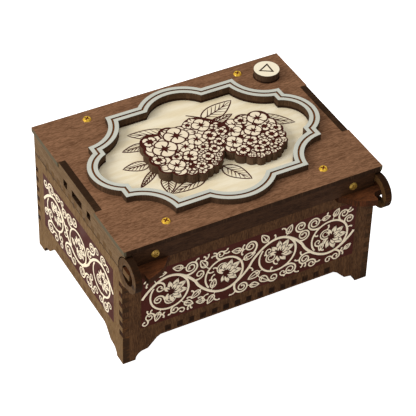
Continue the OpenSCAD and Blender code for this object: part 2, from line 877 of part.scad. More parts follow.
module governor_arbor() {
    color(steel) translate([governor_x, governor_y, 25.5])
        cylinder(r = governor_r, h = brake_top - 25.5, $fn = 32);
}

// Single-start worm: a round section set off its axis and twisted
module worm() {
    turns = 4.5;
    color(brass) translate([governor_x, governor_y, axis_z - turns * worm_lead / 2])
        linear_extrude(height = turns * worm_lead, twist = -360 * turns, slices = turns * 12,
            segments = 12)
            translate([-0.38, 0]) circle(r = 1.5, $fn = 12);
}

fan_z = 44.4;
brake_z = 49.6;
brake_top = brake_z + 0.7;

module fan() {
    color(steel) translate([governor_x, governor_y, fan_z]) difference() {
        union() {
            cylinder(r = 1.6, h = brake_z - fan_z);
            translate([-5.2, -0.25, 0.4]) cube([10.4, 0.5, brake_z - fan_z - 0.8]);
        }
        translate([0, 0, -1]) cylinder(r = governor_r, h = 8, $fn = 32);
    }
}

module brake_disc() {
    color(brass) translate([governor_x, governor_y, brake_z]) difference() {
        cylinder(r = 4.2, h = brake_top - brake_z);
        translate([0, 0, -1]) cylinder(r = governor_r, h = 3, $fn = 32);
    }
}

left_side();
right_side();
rear_panel();
front_panel();
floor_plate();
rear_inlay();
front_inlay();
left_inlay();
right_inlay();
long_divider();
cross_divider();
lid_plate();
lid_inner_plate();
lid_left_rail();
lid_right_rail();
lid_hinge_rail();
lid_front_rail();
lid_spacers();
lid_screws();
rail_screws();
ornament_panel();
ornament_frame();
flower_left();
flower_right();
button_cap();
button_disc();
button_collar();
button_stem();
button_spring();
bedplate();
bedplate_screws();
comb();
comb_screws();
left_bearing();
right_bearing();
barrel_bridge();
governor_frame();
lever_post();
lever_pin();
stop_lever();
cylinder_drum();
cylinder_caps();
cylinder_pins();
cylinder_arbor();
cylinder_pinion();
cylinder_wheel();
barrel_drum();
barrel_cap();
mainspring();
winding_arbor();
ratchet_wheel();
winding_key();
click();
idler_arbor();
idler_pinion();
worm_wheel();
governor_arbor();
worm();
fan();
brake_disc();
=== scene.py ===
"""Looks of a plywood cylinder music box: woods, paints, metals, scrolls, petals and leaves.

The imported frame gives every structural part. This file dresses those parts and adds the fine
decoration that lies on them: painted vine scrolls on the four walls, petals on the two carved
flower heads, burnt-in leaves on the lid's panel, and the coil of the button's spring.
"""

import json
import logging
import math
import random
from dataclasses import dataclass, field
from enum import Enum
from typing import Iterable, Optional, Sequence, Union

import bpy
import numpy as np
from bpy.types import Material, Node, NodeSocket, NodeTree, Object, bpy_prop_collection
from mathutils import Matrix, Vector


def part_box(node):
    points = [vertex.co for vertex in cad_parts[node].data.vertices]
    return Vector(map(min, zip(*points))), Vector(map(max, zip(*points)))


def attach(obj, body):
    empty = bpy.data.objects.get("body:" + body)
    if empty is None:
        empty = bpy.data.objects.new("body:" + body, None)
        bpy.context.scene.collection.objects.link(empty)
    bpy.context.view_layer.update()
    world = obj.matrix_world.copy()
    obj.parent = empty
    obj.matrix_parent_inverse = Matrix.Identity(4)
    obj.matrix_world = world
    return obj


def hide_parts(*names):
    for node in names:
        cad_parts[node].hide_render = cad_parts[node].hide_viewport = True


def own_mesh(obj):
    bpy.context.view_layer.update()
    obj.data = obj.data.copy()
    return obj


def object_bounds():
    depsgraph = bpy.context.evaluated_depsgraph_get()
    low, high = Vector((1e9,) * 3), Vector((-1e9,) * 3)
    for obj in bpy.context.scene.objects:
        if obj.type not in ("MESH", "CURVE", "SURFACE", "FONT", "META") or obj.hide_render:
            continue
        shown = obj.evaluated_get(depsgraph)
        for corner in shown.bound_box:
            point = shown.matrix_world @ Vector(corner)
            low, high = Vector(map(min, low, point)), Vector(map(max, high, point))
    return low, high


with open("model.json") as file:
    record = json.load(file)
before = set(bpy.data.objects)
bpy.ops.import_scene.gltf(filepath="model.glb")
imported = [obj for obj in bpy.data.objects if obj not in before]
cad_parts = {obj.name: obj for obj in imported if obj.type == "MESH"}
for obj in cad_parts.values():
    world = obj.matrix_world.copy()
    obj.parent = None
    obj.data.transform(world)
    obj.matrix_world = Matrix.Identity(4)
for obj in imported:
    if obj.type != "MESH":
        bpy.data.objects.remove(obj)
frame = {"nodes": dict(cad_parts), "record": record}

LOG = logging.getLogger("music_box")
MM = 0.001
CAD_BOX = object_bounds()
# A lid sheet's edge beyond this distance from the middle is its end grain.
END_FROM = CAD_BOX[1].x - 1.4 * MM
# Height of the seam between the lid and the walls.
SEAM_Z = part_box("lid_left_rail")[0].z
# The lid's screws: their middle, half their spacing, and the reach of the cross in a head.
SCREW_MIDDLE = (0.0, 8.65 * MM)
SCREW_AWAY = (48.85 * MM, 49.2 * MM)
CROSS_R = 1.85 * MM
# The round hinge ears.
EAR_R = 10.2 * MM
EAR_AXIS = (0.0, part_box("left_side")[0].y + EAR_R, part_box("left_side")[1].z - EAR_R)
# Radians between the points on a disc's rim at which the ground under it is tested.
SIXTH_TURN = 1.047
Point = tuple[float, float]
Colour = tuple[float, float, float]
# What a node's input takes: another node's output, or a plain value.
Feed = Union[NodeSocket, float, Sequence[float]]
FLOAT, VECTOR, COLOUR = "NodeSocketFloat", "NodeSocketVector", "NodeSocketColor"


# ---------------------------------------------------------------- small tools


def srgb(red: int, green: int, blue: int) -> Colour:
    """Linear colour of a display colour given as three bytes."""
    return tuple(
        c / 12.92 if c <= 0.04045 else ((c + 0.055) / 1.055) ** 2.4
        for c in (red / 255, green / 255, blue / 255)
    )


def deselect() -> None:
    """Leaves edit mode and deselects every object."""
    if bpy.context.object and bpy.context.object.mode != "OBJECT":
        bpy.ops.object.mode_set(mode="OBJECT")
    bpy.ops.object.select_all(action="DESELECT")


def activate(obj: Object) -> None:
    """Makes one object the only selected and the active one."""
    deselect()
    obj.select_set(True)
    bpy.context.view_layer.objects.active = obj


def settle(obj: Object) -> None:
    """Applies place, turn and scale, so that the object sits at the origin."""
    activate(obj)
    bpy.ops.object.transform_apply(location=True, rotation=True, scale=True)


def join(pieces: Sequence[Object], name: str) -> Object:
    """Joins mesh objects into one.

    Args:
        pieces: The objects, which are used up.
        name: Name of the joined object.

    Returns:
        The joined object.
    """
    deselect()
    for piece in pieces:
        piece.select_set(True)
    bpy.context.view_layer.objects.active = pieces[0]
    bpy.ops.object.join()
    whole = bpy.context.object
    whole.name = name
    whole.data.name = name
    return whole


def smooth(obj: Object, degrees: float = 40.0) -> None:
    """Shades an object smooth below the given angle."""
    activate(obj)
    bpy.ops.object.shade_smooth_by_angle(angle=math.radians(degrees))


def off(point: Point, angle: float, reach: float) -> Point:
    """Point at a distance from another one, in a direction in radians."""
    return point[0] + reach * math.cos(angle), point[1] + reach * math.sin(angle)


def frame_of(origin: Sequence[float], across: Sequence[float], up: Sequence[float]) -> Matrix:
    """Matrix that lays a flat drawing on a surface.

    Args:
        origin: Where the drawing's origin goes, in metres.
        across: Direction of the drawing's first axis.
        up: Direction of the drawing's second axis.

    Returns:
        A matrix from drawing millimetres to metres.
    """
    u, v = Vector(across), Vector(up)
    n = u.cross(v)
    turn = Matrix((u, v, n)).transposed().to_4x4()
    return Matrix.Translation(Vector(origin)) @ turn @ Matrix.Scale(MM, 4)


# ---------------------------------------------------------------- shader sheets


class Sheet:
    """A node tree with short ways to add and join nodes."""

    def __init__(self, tree: NodeTree) -> None:
        """Takes the tree to draw in and clears it."""
        self.tree = tree
        tree.nodes.clear()

    def add(self, kind: str, links: Optional[dict] = None, **settings) -> Node:
        """Adds a node.

        Args:
            kind: Blender's node type.
            links: Input name or number to a socket or a plain value.
            **settings: Attributes of the node.

        Returns:
            The node.
        """
        node = self.tree.nodes.new(kind)
        for key, value in settings.items():
            setattr(node, key, value)
        for key, value in (links or {}).items():
            self.feed(node.inputs[key], value)
        return node

    def feed(self, socket: NodeSocket, value: Feed) -> None:
        """Links a socket to an input, or sets a plain value on it.

        Args:
            socket: The input.
            value: What it takes; a colour of three numbers is made opaque.
        """
        if isinstance(value, NodeSocket):
            self.tree.links.new(value, socket)
        elif isinstance(value, tuple) and len(value) == 3 and socket.type == "RGBA":
            socket.default_value = (*value, 1.0)
        else:
            socket.default_value = value

    def math(
        self, operation: str, a: Feed, b: Feed = 0.5, c: Feed = 0.5, clamp: bool = False
    ) -> NodeSocket:
        """Adds a Math node.

        Args:
            operation: Blender's name of the sum.
            a: First value.
            b: Second value, where the sum has one.
            c: Third value, where the sum has one.
            clamp: Keeps the result between 0 and 1.

        Returns:
            The result's socket.
        """
        node = self.add("ShaderNodeMath", {0: a, 1: b, 2: c}, operation=operation)
        node.use_clamp = clamp
        return node.outputs[0]

    def mix(self, factor: Feed, a: Feed, b: Feed, blend: str = "MIX") -> NodeSocket:
        """Adds a colour Mix node.

        Args:
            factor: How much of the second colour is taken.
            a: First colour.
            b: Second colour.
            blend: Blender's name of the way they mix.

        Returns:
            The result's socket.
        """
        node = self.add("ShaderNodeMix", data_type="RGBA", blend_type=blend)
        self.feed(node.inputs[0], factor)
        self.feed(node.inputs[6], a)
        self.feed(node.inputs[7], b)
        return node.outputs[2]

    def span(
        self, value: Feed, low: float, high: float, out_low: float = 0.0, out_high: float = 1.0
    ) -> NodeSocket:
        """Result socket of a clamped, smooth Map Range node."""
        links = {0: value, 1: low, 2: high, 3: out_low, 4: out_high}
        return self.add("ShaderNodeMapRange", links, interpolation_type="SMOOTHSTEP").outputs[0]

    def noise(
        self, vector: Feed, scale: float, detail: float = 4.0, rough: float = 0.6
    ) -> NodeSocket:
        """Value socket of a Noise Texture node."""
        links = {"Vector": vector, "Scale": scale, "Detail": detail, "Roughness": rough}
        return self.add("ShaderNodeTexNoise", links).outputs[0]

    def stretch(self, vector: Feed, scale: Sequence[float]) -> NodeSocket:
        """Vector socket of a Mapping node with the given scale."""
        return self.add("ShaderNodeMapping", {"Vector": vector, "Scale": scale}).outputs[0]

    def vector(self, operation: str, *values: Feed) -> NodeSocket:
        """Result socket of a Vector Math node."""
        node = self.add("ShaderNodeVectorMath", dict(enumerate(values)), operation=operation)
        return node.outputs["Value" if operation in ("DOT_PRODUCT", "DISTANCE") else "Vector"]

    def axis(self, vector: Feed, number: int) -> NodeSocket:
        """One coordinate of a vector: 0 for x, 1 for y, 2 for z."""
        return self.add("ShaderNodeSeparateXYZ", {0: vector}).outputs[number]

    def use(self, tree: NodeTree, **inputs: Feed) -> bpy_prop_collection:
        """Output sockets of a node group that is fed with the given inputs."""
        return self.add("ShaderNodeGroup", inputs, node_tree=tree).outputs

    def bump(self, shader: Node, height: Feed, strength: float, distance: float) -> None:
        """Feeds a height through a Bump node into the shader's normal."""
        links = {"Height": height, "Strength": strength, "Distance": distance}
        self.feed(shader.inputs["Normal"], self.add("ShaderNodeBump", links).outputs[0])


def group(name: str, inputs: dict[str, str], outputs: dict[str, str]) -> tuple:
    """Starts a shader node group.

    Args:
        name: Name of the group.
        inputs: Input name to socket type.
        outputs: Output name to socket type.

    Returns:
        The group, its sheet, its input sockets and its output sockets.
    """
    tree = bpy.data.node_groups.new(name, "ShaderNodeTree")
    for way, sockets in (("INPUT", inputs), ("OUTPUT", outputs)):
        for key, kind in sockets.items():
            tree.interface.new_socket(name=key, in_out=way, socket_type=kind)
    sheet = Sheet(tree)
    return tree, sheet, sheet.add("NodeGroupInput").outputs, sheet.add("NodeGroupOutput").inputs


def blank(name: str) -> tuple[Material, Sheet, Node]:
    """Starts a material with only a Principled shader and an output.

    Args:
        name: Name of the material.

    Returns:
        The material, its sheet and its shader.
    """
    material = bpy.data.materials.new(name)
    material.use_nodes = True
    s = Sheet(material.node_tree)
    shader = s.add("ShaderNodeBsdfPrincipled")
    s.add("ShaderNodeOutputMaterial", {"Surface": shader.outputs[0]})
    return material, s, shader


class Effects:
    """The shared effects, each a node group that is built once."""

    def __init__(self) -> None:
        """Builds the four groups."""
        self.grain = self._grain()
        self.burnt = self._burnt()
        self.mottle = self._mottle()
        self.brushed = self._brushed()

    def _grain(self) -> NodeTree:
        """Wood grain: long figure, fine fibres and short dark pores."""
        tree, s, i, o = group(
            "wood_grain",
            {"Vector": VECTOR, "Light": COLOUR, "Dark": COLOUR, "Figure": FLOAT, "Pores": FLOAT},
            {"Color": COLOUR, "Height": FLOAT, "Rough": FLOAT},
        )
        warp = s.add("ShaderNodeTexNoise", {"Vector": i["Vector"], "Scale": 0.45, "Detail": 2.0})
        bent = s.vector("MULTIPLY_ADD", warp.outputs[1], (1.6, 1.6, 1.6), i["Vector"])
        figure = s.noise(bent, 0.5, 2.0, 0.5)
        fibre = s.noise(bent, 3.4, 5.0, 0.65)
        pore = s.noise(i["Vector"], 7.0, 2.0, 0.5)
        broad = s.math("MULTIPLY", s.span(figure, 0.34, 0.68), i["Figure"])
        fine = s.math("MULTIPLY", s.span(fibre, 0.38, 0.62), s.math("SUBTRACT", 1.0, i["Figure"]))
        tone = s.math("ADD", broad, fine, clamp=True)
        body = s.mix(tone, i["Dark"], i["Light"])
        pit = s.math("MULTIPLY", s.span(pore, 0.58, 0.72), i["Pores"])
        deep = s.mix(0.62, i["Dark"], (0.0, 0.0, 0.0))
        s.feed(o["Color"], s.mix(pit, body, deep))
        s.feed(o["Height"], s.math("SUBTRACT", tone, pit))
        s.feed(o["Rough"], s.span(tone, 0.0, 1.0, 0.62, 0.48))
        return tree

    def _burnt(self) -> NodeTree:
        """Laser-burnt edge: a mask where the surface is not the sheet's face, and its char."""
        tree, s, i, o = group(
            "burnt_edge",
            {"Axis": VECTOR, "Char": COLOUR, "Ember": COLOUR},
            {"Mask": FLOAT, "Color": COLOUR, "Height": FLOAT},
        )
        place = s.add("ShaderNodeTexCoord").outputs
        facing = s.math("ABSOLUTE", s.vector("DOT_PRODUCT", place["Normal"], i["Axis"]))
        s.feed(o["Mask"], s.span(facing, 0.45, 0.75, 1.0, 0.0))
        # Streaks run through the sheet: the pattern is fine along its faces and long across them.
        spread = s.vector("MULTIPLY_ADD", i["Axis"], (-1180.0,) * 3, (1300.0,) * 3)
        place_on = s.vector("MULTIPLY", place["Object"], spread)
        streak = s.noise(place_on, 1.0, 4.0, 0.6)
        patch = s.noise(place["Object"], 190.0, 3.0, 0.5)
        glow = s.math("MULTIPLY", s.span(streak, 0.4, 0.72), s.span(patch, 0.36, 0.66))
        s.feed(o["Color"], s.mix(glow, i["Char"], i["Ember"]))
        s.feed(o["Height"], streak)
        return tree

    def _mottle(self) -> NodeTree:
        """Paint or lacquer over wood: soft clouds, faint grain and small rubbed spots."""
        tree, s, i, o = group(
            "paint_mottle",
            {"Vector": VECTOR, "Paint": COLOUR, "Under": COLOUR, "Cloud": FLOAT, "Rub": FLOAT},
            {"Color": COLOUR, "Height": FLOAT, "Rough": FLOAT},
        )
        cloud = s.noise(i["Vector"], 90.0, 4.0, 0.6)
        grit = s.noise(i["Vector"], 2600.0, 2.0, 0.5)
        rub = s.noise(i["Vector"], 620.0, 5.0, 0.7)
        shade = s.mix(0.5, i["Paint"], i["Under"])
        tone = s.mix(s.math("MULTIPLY", s.span(cloud, 0.35, 0.7), i["Cloud"]), i["Paint"], shade)
        worn = s.math("MULTIPLY", s.span(rub, 0.56, 0.74), i["Rub"])
        s.feed(o["Color"], s.mix(worn, tone, i["Under"]))
        s.feed(o["Height"], s.math("ADD", grit, s.math("MULTIPLY", rub, 0.6)))
        s.feed(o["Rough"], s.span(cloud, 0.3, 0.7, 0.42, 0.6))
        return tree

    def _brushed(self) -> NodeTree:
        """Metal surface: turning marks, small scratches and dull tarnish in patches."""
        tree, s, i, o = group(
            "brushed_metal",
            {"Vector": VECTOR, "Metal": COLOUR, "Tarnish": COLOUR, "Age": FLOAT},
            {"Color": COLOUR, "Height": FLOAT, "Rough": FLOAT},
        )
        lines = s.noise(s.stretch(i["Vector"], (400.0, 4200.0, 4200.0)), 1.0, 3.0, 0.6)
        patch = s.noise(i["Vector"], 240.0, 4.0, 0.6)
        dull = s.math("MULTIPLY", s.span(patch, 0.42, 0.7), i["Age"])
        s.feed(o["Color"], s.mix(dull, i["Metal"], i["Tarnish"]))
        s.feed(o["Height"], lines)
        s.feed(o["Rough"], s.math("ADD", s.span(lines, 0.3, 0.7, 0.2, 0.34), s.math("MULTIPLY", dull, 0.3)))
        return tree


class Grain(Enum):
    """Direction in which a sheet's fibres run: stretch of the pattern along X, Y and Z."""

    ALONG_X = (85.0, 480.0, 480.0)
    ALONG_Y = (480.0, 85.0, 480.0)
    ALONG_Z = (480.0, 480.0, 85.0)


class Facing(Enum):
    """Normal of a sheet's two faces."""

    X = (1.0, 0.0, 0.0)
    Y = (0.0, 1.0, 0.0)
    Z = (0.0, 0.0, 1.0)


@dataclass(frozen=True)
class Wood:
    """A stained and waxed plywood sheet with laser-burnt edges.

    end_x is the colour of the edges at the two ends of the lid. The ear tint is painted shade on the hinge
    ears, which lie in the lid's shadow, and the seam flag paints shade along the shadowed gap under the
    lid.
    """

    light: Colour
    dark: Colour
    char: Colour = srgb(46, 30, 20)
    ember: Colour = srgb(88, 52, 30)
    figure: float = 0.4
    pores: float = 0.35
    end_x: Optional[Colour] = None
    ear: Optional[Colour] = None
    sooty: bool = False
    bump: float = 0.25

    def make(self, name: str, fx: Effects, grain: Grain, facing: Facing) -> Material:
        """Makes the material of this wood for one way of grain and one way of facing.

        Args:
            name: Name of the material.
            fx: The shared effects.
            grain: Which way the grain runs.
            facing: Which way the sheet's faces look; its other sides are burnt edges.

        Returns:
            The material.
        """
        material, s, shader = blank(name)
        place = s.add("ShaderNodeTexCoord").outputs["Object"]
        along = s.stretch(place, grain.value)
        tones = {"Light": self.light, "Dark": self.dark, "Figure": self.figure, "Pores": self.pores}
        grained = s.use(fx.grain, Vector=along, **tones)
        burnt = s.use(fx.burnt, Axis=facing.value, Char=self.char, Ember=self.ember)
        face, edge = grained["Color"], burnt["Color"]
        if self.end_x:
            streaked = s.mix(burnt["Height"], self.end_x, tuple(1.5 * c for c in self.end_x))
            at_end = s.math("GREATER_THAN", s.math("ABSOLUTE", s.axis(place, 0)), END_FROM)
            edge = s.mix(at_end, edge, streaked)
        # Painted shade: the seam under the lid is a shadowed gap, darkened in the char colour.
        if self.sooty:
            face = s.mix(self.soot(s, place), face, self.char)
        # Painted shade: the hinge ears lie in the lid's shadow, so faces and edges near the ear axis are
        # darkened by the ear tint.
        if self.ear:
            away = s.vector("DISTANCE", s.vector("MULTIPLY", place, (0, 1, 1)), EAR_AXIS)
            near = s.span(away, EAR_R - 0.4 * MM, EAR_R + 2.6 * MM, 1.0, 0.0)
            face = s.mix(near, face, s.mix(1.0, face, self.ear, "MULTIPLY"))
            edge = s.mix(near, edge, s.mix(1.0, edge, self.ear, "MULTIPLY"))
        mask = burnt["Mask"]
        s.feed(shader.inputs["Base Color"], s.mix(mask, face, edge))
        rough = s.math("ADD", grained["Rough"], s.math("MULTIPLY", mask, 0.2))
        s.feed(shader.inputs["Roughness"], rough)
        height = s.math("ADD", grained["Height"], s.math("MULTIPLY", burnt["Height"], mask))
        s.bump(shader, height, self.bump, 0.12 * MM)
        shader.inputs["Specular IOR Level"].default_value = 0.03
        return material

    def soot(self, s: Sheet, place: NodeSocket) -> NodeSocket:
        """Paints shade along the seam under the lid: a dark line for the shadowed gap and broken dark
        dashes round it.

        Args:
            s: Sheet of the material.
            place: Object coordinates.

        Returns:
            The mask.
        """
        away = s.math("ABSOLUTE", s.math("SUBTRACT", s.axis(place, 2), SEAM_Z))
        line = s.math("MULTIPLY", s.span(away, 0.3 * MM, 0.7 * MM, 1.0, 0.0), 0.55)
        patches = s.span(s.noise(s.stretch(place, (1, 300, 90)), 1.0, 2.0), 0.52, 0.62)
        shadow_dashes = s.math("MULTIPLY", patches, s.span(away, 1.2 * MM, 2.6 * MM, 0.75, 0.0))
        return s.math("MAXIMUM", line, shadow_dashes)


@dataclass(frozen=True)
class Paint:
    """A painted or lacquered surface.

    With an edge colour only what faces up and lies above face_from is painted. The groove colour
    is on what faces up below that height.
    """

    paint: Colour
    under: Colour
    cloud: float = 0.25
    rub: float = 0.1
    edge: Optional[Colour] = None
    face_from: float = 0.0
    groove: Optional[Colour] = None

    def make(self, name: str, fx: Effects) -> Material:
        """Makes the material of this paint.

        Args:
            name: Name of the material.
            fx: The shared effects.

        Returns:
            The material.
        """
        material, s, shader = blank(name)
        place = s.add("ShaderNodeTexCoord").outputs["Object"]
        coats = {"Paint": self.paint, "Under": self.under, "Cloud": self.cloud, "Rub": self.rub}
        mottle = s.use(fx.mottle, Vector=place, **coats)
        colour, rough, height = (mottle[key] for key in ("Color", "Rough", "Height"))
        if self.edge:
            ember = tuple(1.9 * c for c in self.edge)
            burnt = s.use(fx.burnt, Axis=Facing.Z.value, Char=self.edge, Ember=ember)
            low = s.math("LESS_THAN", s.axis(place, 2), self.face_from)
            mask = s.math("MAXIMUM", burnt["Mask"], low)
            colour = s.mix(mask, colour, burnt["Color"])
            if self.groove:
                flat = s.math("SUBTRACT", 1.0, burnt["Mask"], clamp=True)
                colour = s.mix(s.math("MULTIPLY", flat, low), colour, self.groove)
            rough = s.math("ADD", rough, s.math("MULTIPLY", mask, 0.2))
            height = s.math("ADD", height, s.math("MULTIPLY", burnt["Height"], mask))
        s.feed(shader.inputs["Base Color"], colour)
        s.feed(shader.inputs["Roughness"], rough)
        s.bump(shader, height, 0.12, 0.1 * MM)
        shader.inputs["Specular IOR Level"].default_value = 0.05
        return material


@dataclass(frozen=True)
class Metal:
    """A bare or plated metal; the recess colour is painted shade in the crosses cut into the lid's screws.
    """

    metal: Colour
    tarnish: Colour
    age: float = 0.3
    bump: float = 0.1
    shine: float = 1.0
    recess: Optional[Colour] = None

    def make(self, name: str, fx: Effects) -> Material:
        """Makes the material of this metal.

        Args:
            name: Name of the material.
            fx: The shared effects.

        Returns:
            The material.
        """
        material, s, shader = blank(name)
        place = s.add("ShaderNodeTexCoord").outputs["Object"]
        brushed = s.use(fx.brushed, Vector=place, Metal=self.metal, Tarnish=self.tarnish, Age=self.age)
        colour = brushed["Color"]
        # Painted shade: the lid screws' cross recesses are darkened, as shade falls in them.
        if self.recess:
            colour = s.mix(self.cross(s, place), colour, self.recess)
        s.feed(shader.inputs["Base Color"], colour)
        s.feed(shader.inputs["Roughness"], brushed["Rough"])
        shader.inputs["Metallic"].default_value = self.shine
        s.bump(shader, brushed["Height"], self.bump, 0.05 * MM)
        return material

    def cross(self, s: Sheet, place: NodeSocket) -> NodeSocket:
        """Finds the lid screws' cross recesses, which lie lower than the rim of the heads and get painted
        shade.

        Args:
            s: Sheet of the material.
            place: Object coordinates.

        Returns:
            The mask.
        """
        squares = []
        for number, (middle, away) in enumerate(zip(SCREW_MIDDLE, SCREW_AWAY)):
            across = s.math("ABSOLUTE", s.math("SUBTRACT", s.axis(place, number), middle))
            aside = s.math("SUBTRACT", across, away)
            squares.append(s.math("MULTIPLY", aside, aside))
        inside = s.math("LESS_THAN", s.math("SQRT", s.math("ADD", *squares)), CROSS_R)
        deep = s.math("LESS_THAN", s.axis(place, 2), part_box("lid_screws")[1].z - 0.02 * MM)
        return s.math("MULTIPLY", deep, inside)


def wear(obj: Object, *materials: Material) -> None:
    """Puts materials in an object's slots and keeps the slot numbers of its faces."""
    slots = obj.data.materials
    for number, material in enumerate(materials):
        if number < len(slots):
            slots[number] = material
        else:
            slots.append(material)


# ---------------------------------------------------------------- drawing tools


@dataclass
class Stroke:
    """A drawn line in millimetres, with its half width at each point."""

    points: list[Point]
    halves: list[float]
    closed: bool = False

    def heading(self, k: int) -> float:
        """Finds the direction of the line at one of its points.

        Args:
            k: Number of the point.

        Returns:
            The direction in radians.
        """
        a = self.points[max(0, k - 1)]
        b = self.points[min(len(self.points) - 1, k + 1)]
        return math.atan2(b[1] - a[1], b[0] - a[0])


def curl(
    start: Point, heading: float, length: float, wide: float, tight: float, side: int, half: float
) -> Stroke:
    """A line whose bend grows steadily.

    Args:
        start: First point.
        heading: First direction, in radians.
        length: Length along the line.
        wide: Radius of the bend at the start.
        tight: Radius of the bend at the tip.
        side: 1 to curl to the left, -1 to the right.
        half: Half width at the root.

    Returns:
        The stroke.
    """
    steps = max(5, int(length / 0.6))
    step = length / steps
    a, points, halves = heading, [start], [half]
    for k in range(steps):
        t = (k + 0.5) / steps
        a += side * step / (wide * (tight / wide) ** t)
        points.append(off(points[-1], a, step))
        halves.append(half * (1 - 0.35 * t))
    return Stroke(points, halves)


def coil(start: Point, heading: float, run: float, radius: float, side: int, half: float) -> Stroke:
    """A stalk that bends over and winds up in a coil with a round tip.

    Args:
        start: First point.
        heading: First direction, in radians.
        run: Length of the stalk before the coil.
        radius: Outer radius of the coil.
        side: 1 to wind to the left, -1 to the right.
        half: Half width at the root.

    Returns:
        The stroke.
    """
    line = curl(start, heading, run, 3.2 * radius, radius, side, half)
    a = line.heading(len(line.points) - 1)
    pitch = 1.44 * half + 0.62
    now, turned, step = radius, 0.0, 0.45
    while now > 0.62 * half + 0.5 and turned < 3.3 * math.pi:
        a += side * step / now
        turned += step / now
        now -= pitch * step / now / (2 * math.pi)
        line.points.append(off(line.points[-1], a, step))
        line.halves.append(half * (0.7 - 0.035 * min(5.0, turned)))
    for k in (-1, -2):
        line.halves[k] = 1.12 * half
    return line


def draw(strokes: Iterable[Stroke], name: str, place: Matrix, rise: float, material: Material) -> Object:
    """Makes strokes into one crowned, raised mesh.

    Args:
        strokes: The lines to draw.
        name: Name of the piece.
        place: Matrix from drawing millimetres to metres.
        rise: Height of the crown over half the width.
        material: Finish of the lines.

    Returns:
        The mesh object, settled at the origin.
    """
    deselect()
    bpy.ops.curve.primitive_bezier_curve_add()
    obj = bpy.context.object
    obj.name = name
    data = obj.data
    data.splines.clear()
    data.dimensions = "3D"
    data.twist_mode = "Z_UP"
    data.bevel_mode = "ROUND"
    data.bevel_depth = 1.0
    data.bevel_resolution = 1
    data.use_fill_caps = True
    for n, stroke in enumerate(strokes):
        spline = data.splines.new("POLY")
        spline.points.add(len(stroke.points) - 1)
        lift = 0.004 * (n % 40)
        for point, (x, y), half in zip(spline.points, stroke.points, stroke.halves):
            point.co = (x, y, lift, 1.0)
            point.radius = half
        spline.use_cyclic_u = stroke.closed
    activate(obj)
    bpy.ops.object.convert(target="MESH")
    obj = bpy.context.object
    obj.data.transform(place @ Matrix.Diagonal((1, 1, rise, 1)))
    obj.data.name = name
    wear(obj, material)
    smooth(obj, 60)
    return obj


class Stamp:
    """A small shape that is modelled once and copied to many places."""

    def __init__(self, model: Object) -> None:
        """Takes the modelled shape, drawn in its own unit."""
        self.model = model
        self.copies: list[Object] = []

    def put(self, place: Matrix) -> None:
        """Adds a copy with a mesh of its own.

        Args:
            place: Matrix from the model's own unit to its place in metres.
        """
        twin = bpy.data.objects.new(self.model.name, self.model.data.copy())
        twin.data.transform(place)
        bpy.context.scene.collection.objects.link(twin)
        self.copies.append(twin)

    def done(self, name: str) -> Object:
        """Joins the copies, removes the model and returns the piece."""
        bpy.data.objects.remove(self.model)
        return join(self.copies, name)


class PetalShape(Enum):
    """Outline of a petal: half width over length, where it is widest, and how pointed it is."""

    ROUND = (0.5, 0.56, 0.0)
    POINTED = (0.25, 0.46, 1.0)


def petal(shape: PetalShape, rim: float, paint: Material, line: Material) -> Object:
    """Models one petal of unit length along +X and unit height, standing on z = 0.

    Args:
        shape: Outline of the petal.
        rim: Width of the rim over length.
        paint: Finish of its top.
        line: Finish of its rim, crease and sides.

    Returns:
        The petal.
    """
    full, widest, point = shape.value
    deselect()
    bpy.ops.mesh.primitive_circle_add(vertices=18, radius=0.5, fill_type="NGON", location=(0.5, 0, 0))
    obj = bpy.context.object
    settle(obj)
    wear(obj, paint, line)
    for vertex in obj.data.vertices:
        x, y = vertex.co.x, vertex.co.y
        t = min(1.0, max(0.0, x))
        bulge = math.sin(math.pi * t ** (math.log(0.5) / math.log(widest))) ** (0.55 + 0.6 * point)
        side = (y > 1e-6) - (y < -1e-6)
        vertex.co = (t, side * full * bulge, 1.0)
    bpy.ops.object.mode_set(mode="EDIT")
    bpy.ops.mesh.select_mode(type="FACE")
    bpy.ops.mesh.select_all(action="SELECT")
    bpy.ops.mesh.extrude_region_move(TRANSFORM_OT_translate={"value": (0, 0, -1.0)})
    bpy.ops.mesh.select_all(action="SELECT")
    bpy.ops.mesh.normals_make_consistent(inside=False)
    bpy.ops.mesh.select_all(action="DESELECT")
    bpy.ops.object.mode_set(mode="OBJECT")
    for face in obj.data.polygons:
        face.select = face.normal.z > 0.9
    bpy.ops.object.mode_set(mode="EDIT")
    bpy.ops.mesh.inset(thickness=rim, depth=0)
    bpy.ops.mesh.poke(offset=0)
    bpy.ops.object.mode_set(mode="OBJECT")
    for face in obj.data.polygons:
        inner = len(face.vertices) == 3
        crease = inner and face.center.x < 0.34 and abs(face.center.y) < 0.1
        face.material_index = 0 if inner and not crease else 1
    return obj


# ---------------------------------------------------------------- wall scrolls


